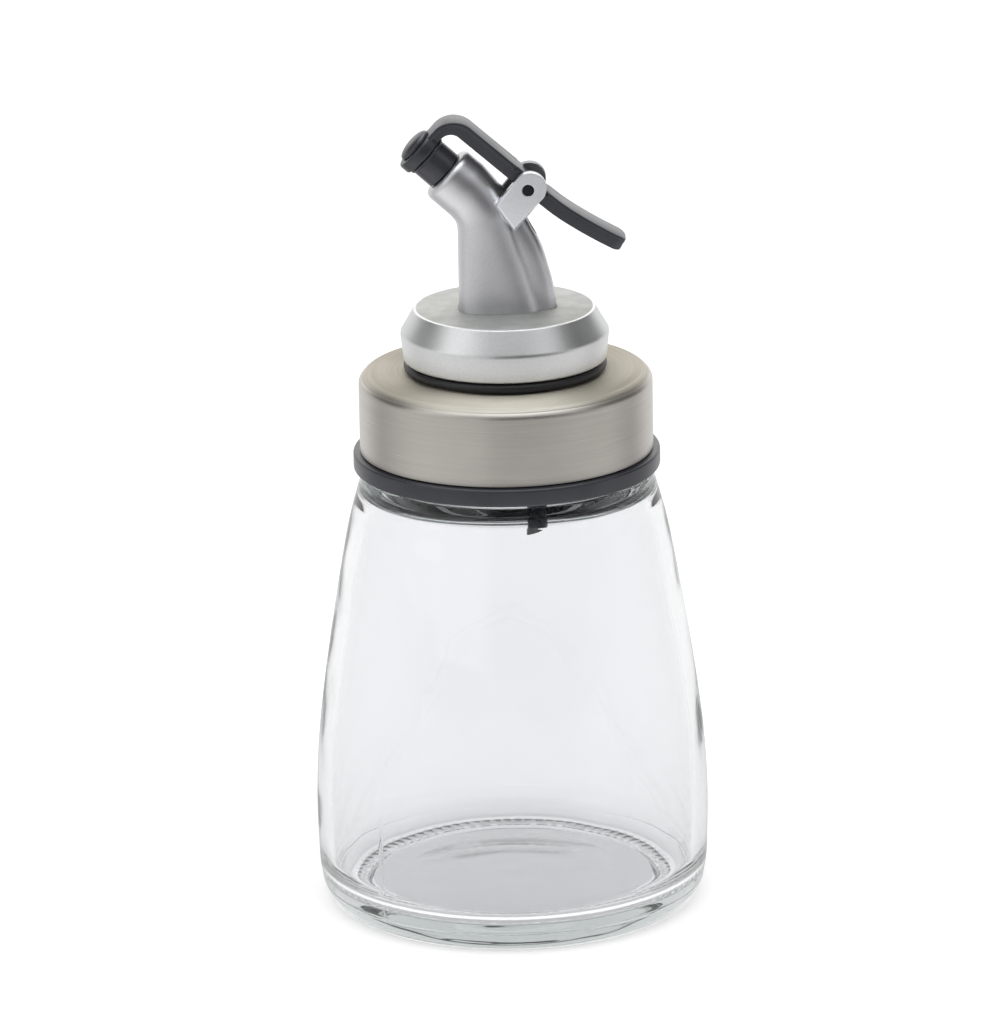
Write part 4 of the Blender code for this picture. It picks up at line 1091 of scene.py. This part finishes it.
def make_plug(rubber):
    flange_top = LEVER_RING_LEVEL - LEVER_RING_THICKNESS / 2 - RING_GAP
    flange_bottom = flange_top - PLUG_FLANGE_THICKNESS
    button_bottom = flange_top + LEVER_RING_THICKNESS + 2 * RING_GAP
    nose_r = (PLUG_R**2 + PLUG_NOSE_DEPTH**2) / (2 * PLUG_NOSE_DEPTH)
    nose_z = PLUG_LIFT - PLUG_NOSE_DEPTH + nose_r
    sweep = math.degrees(math.asin(PLUG_R / nose_r))
    nose = arc((0.0, nose_z), nose_r, -90, -90 + sweep, BULGE_STEPS)
    button = []
    for step in range(BULGE_STEPS + 1):
        turn = math.pi / 2 * (1 - step / BULGE_STEPS)
        rise = BUTTON_EDGE + (BUTTON_HEIGHT - BUTTON_EDGE) * math.cos(turn)
        button.append((BUTTON_R * math.sin(turn), button_bottom + rise))
    flange_half = PLUG_FLANGE_THICKNESS / 2
    flange_centre = (PLUG_FLANGE_R - flange_half, flange_bottom + flange_half)
    outline = [
        (0.0, nose[0][1]),
        *nose[1:],
        (PLUG_R, flange_bottom),
        *arc(flange_centre, flange_half, PLUG_FLANGE_START_DEG, 90, CURVE_STEPS),
        (PLUG_NECK_R, flange_top),
        (PLUG_NECK_R, button_bottom),
        (BUTTON_R, button_bottom),
        *button[:-1],
        (0.0, button_bottom + BUTTON_HEIGHT),
    ]
    plug = object_from(turned_mesh(outline, TUBE_STEPS, mouth_frame()), "plug_rubber", rubber)
    finished(plug, "stopper_lever", "stopper_plug")


# Stage: the camera sees a white floor and a white sky, and reflections see the greys of a studio
def grey_ramp(tree, value, levels):
    ramp = add_node(tree, "ValToRGB", {0: value})
    stops = ramp.color_ramp.elements
    while len(stops) < len(levels):
        stops.new(0.5)
    for stop, (position, grey) in zip(stops, levels):
        stop.position = position
        stop.color = (grey, grey, grey, 1.0)
    return ramp.outputs[0]


def ray_kinds(tree):
    """The light path's outputs, and whether the camera sees the surface, itself or through glass."""
    path = add_node(tree, "LightPath").outputs
    return path, math_node(tree, "MAXIMUM", path["Is Camera Ray"], path["Is Transmission Ray"])


def make_floor():
    bm = bmesh.new()
    bmesh.ops.create_grid(bm, x_segments=1, y_segments=1, size=FLOOR_HALF_SIZE)
    material, tree, shader, place = start_material("floor_white", FLOOR_ROUGHNESS)
    shader.inputs["Specular IOR Level"].default_value = 0.0
    shader.inputs["Emission Color"].default_value = WHITE
    path, seen = ray_kinds(tree)
    reflected = math_node(tree, "SUBTRACT", path["Is Glossy Ray"], seen)
    reflected = math_node(tree, "MAXIMUM", reflected, 0.0)
    shade = ranged(tree, reflected, 0.0, 1.0, FLOOR_WHITE, 0.0)
    colour = add_node(tree, "CombineColor", {0: shade, 1: shade, 2: shade}).outputs[0]
    tree.links.new(colour, shader.inputs["Base Color"])
    distance = add_node(tree, "VectorMath", {0: place}, operation="LENGTH").outputs["Value"]
    ahead = math_node(tree, "DIVIDE", add_node(tree, "SeparateXYZ", {0: place}).outputs[1], distance)
    around = grey_ramp(tree, ranged(tree, ahead, -1.0, 1.0, 0.0, 1.0), FLOOR_AROUND)
    outwards = grey_ramp(tree, ranged(tree, distance, 0.0, FLOOR_OUTWARDS_REACH, 0.0, 1.0), FLOOR_OUTWARDS)
    fore = ranged(tree, ahead, 0.0, FLOOR_FORE_TURN, 0.0, 1.0)
    outwards = add_node(tree, "Mix", {"Factor": fore, "A": 1.0, "B": outwards}).outputs[0]
    gleam = math_node(tree, "MULTIPLY", around, outwards)
    near = ranged(tree, distance, *FLOOR_NEAR_REACH, 1.0, 0.0)
    near_level = ranged(tree, ahead, *FLOOR_NEAR_TURN, FLOOR_NEAR, FLOOR_NEAR_BACK)
    gleam = add_node(tree, "Mix", {"Factor": near, "A": gleam, "B": near_level}).outputs[0]
    gleam = math_node(tree, "MULTIPLY", gleam, reflected)
    lift = math_node(tree, "MULTIPLY", path["Is Camera Ray"], FLOOR_LIFT)
    through_glass = math_node(tree, "MULTIPLY", path["Is Transmission Ray"], FLOOR_THROUGH)
    lift = math_node(tree, "ADD", lift, through_glass)
    tree.links.new(math_node(tree, "ADD", gleam, lift), shader.inputs["Emission Strength"])
    floor = object_from(bm, "floor", material)


def make_camera():
    right = Vector((1.0, 0.0, 0.0))
    up = Vector((0.0, math.sin(CAMERA_LOWER), math.cos(CAMERA_LOWER)))
    forward = Vector((0.0, math.cos(CAMERA_LOWER), -math.sin(CAMERA_LOWER)))
    turned_right = right * math.cos(CAMERA_ROLL) + up * math.sin(CAMERA_ROLL)
    turned_up = up * math.cos(CAMERA_ROLL) - right * math.sin(CAMERA_ROLL)
    place = (CAMERA_AIM - forward * CAMERA_DISTANCE) * MM
    camera = bpy.data.objects.new("camera", bpy.data.cameras.new("camera"))
    bpy.context.scene.collection.objects.link(camera)
    columns = (turned_right, turned_up, -forward)
    rows = [[*(column[row] for column in columns), place[row]] for row in range(3)]
    camera.matrix_world = Matrix([*rows, [0.0, 0.0, 0.0, 1.0]])
    camera.data.sensor_fit = "HORIZONTAL"
    camera.data.sensor_width = CAMERA_SENSOR
    camera.data.lens = CAMERA_SENSOR * CAMERA_FOCAL_PX / PHOTO_WIDTH_PX
    camera.data.clip_start, camera.data.clip_end = CAMERA_CLIP
    bpy.context.scene.camera = camera


def make_light(name, place, size, power, colour):
    lamp = bpy.data.lights.new(name, "AREA")
    lamp.shape = "RECTANGLE"
    lamp.size, lamp.size_y = size
    lamp.energy = power
    lamp.color = colour
    obj = bpy.data.objects.new(name, lamp)
    bpy.context.scene.collection.objects.link(obj)
    obj.location = place
    obj.rotation_euler = (LAMP_AIM - Vector(place)).to_track_quat("-Z", "Y").to_euler()
    obj.visible_camera = False
    obj.visible_glossy = False


def make_world():
    world = bpy.data.worlds.new("studio")
    bpy.context.scene.world = world
    world.use_nodes = True
    tree = world.node_tree
    way = add_node(tree, "TexCoord").outputs["Generated"]
    height = add_node(tree, "SeparateXYZ", {0: way}).outputs[2]
    levels = [((level + 1) / 2, grey) for level, grey in STUDIO_BASE]
    total = grey_ramp(tree, ranged(tree, height, -1.0, 1.0, 0.0, 1.0), levels)
    for direction, inner, outer, colour in STUDIO_LOBES:
        lobe = Vector(direction).normalized()
        towards = add_node(tree, "VectorMath", {0: way, 1: lobe}, operation="DOT_PRODUCT").outputs["Value"]
        low, high = math.cos(math.radians(outer)), math.cos(math.radians(inner))
        glow = shaded(tree, colour, ranged(tree, towards, low, high, 0.0, 1.0))
        total = add_node(tree, "VectorMath", {0: total, 1: glow}, operation="ADD").outputs[0]
    total = add_node(tree, "VectorMath", {0: total, 1: STUDIO_LEAST}, operation="MAXIMUM").outputs[0]
    path, seen = ray_kinds(tree)
    lit = {"Fac": path["Is Glossy Ray"], "Color1": STUDIO_DIFFUSE, "Color2": total}
    lit = {"Fac": seen, "Color1": add_node(tree, "MixRGB", lit).outputs[0], "Color2": WHITE}
    tree.links.new(add_node(tree, "MixRGB", lit).outputs[0], tree.nodes["Background"].inputs["Color"])


def main():
    make_camera()
    make_world()
    make_floor()
    for lamp in LAMPS:
        make_light(*lamp)
    glass = glass_material()
    steel = steel_material()
    silver = silver_material("satin_silver", SILVER, rounding=SILVER_ROUNDING)
    ear_silver = silver_material("satin_silver_ear", EAR_SILVER, painted_shade_gap_half=EAR_GAP_HALF)
    collar_silver = silver_material("satin_silver_collar", COLLAR_SILVER, dusty_shaded_above=COLLAR_TOP_Z)
    plastic = black_material("black_plastic", PLASTIC, roughness=0.30, grain=0.2)
    rubber = black_material("black_rubber", RUBBER, roughness=0.28, grain=0.3)
    gasket_rubber = black_material("black_gasket", GASKET_BLACK, roughness=0.42, grain=0.3)
    pin_black = black_material("black_pin", PIN_BLACK, roughness=0.5, grain=0.2, ior=1.3)
    make_bottle(glass)
    make_shell(steel)
    make_liner(plastic)
    make_pourer_gasket(gasket_rubber)
    make_collar(collar_silver)
    make_spout(silver, ear_silver)
    make_air_tube(plastic)
    make_lever(plastic)
    make_pin(pin_black)
    make_plug(rubber)
    for name, material in (("neck_gasket", rubber), ("stem_nut", plastic)):
        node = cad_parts[name]
        node.data.materials.clear()
        node.data.materials.append(material)
    scene = bpy.context.scene
    scene.cycles.max_bounces = GLASS_BOUNCES
    scene.cycles.glossy_bounces = GLASS_BOUNCES
    scene.cycles.transmission_bounces = GLASS_BOUNCES
    scene.view_settings.view_transform = "Standard"


main()
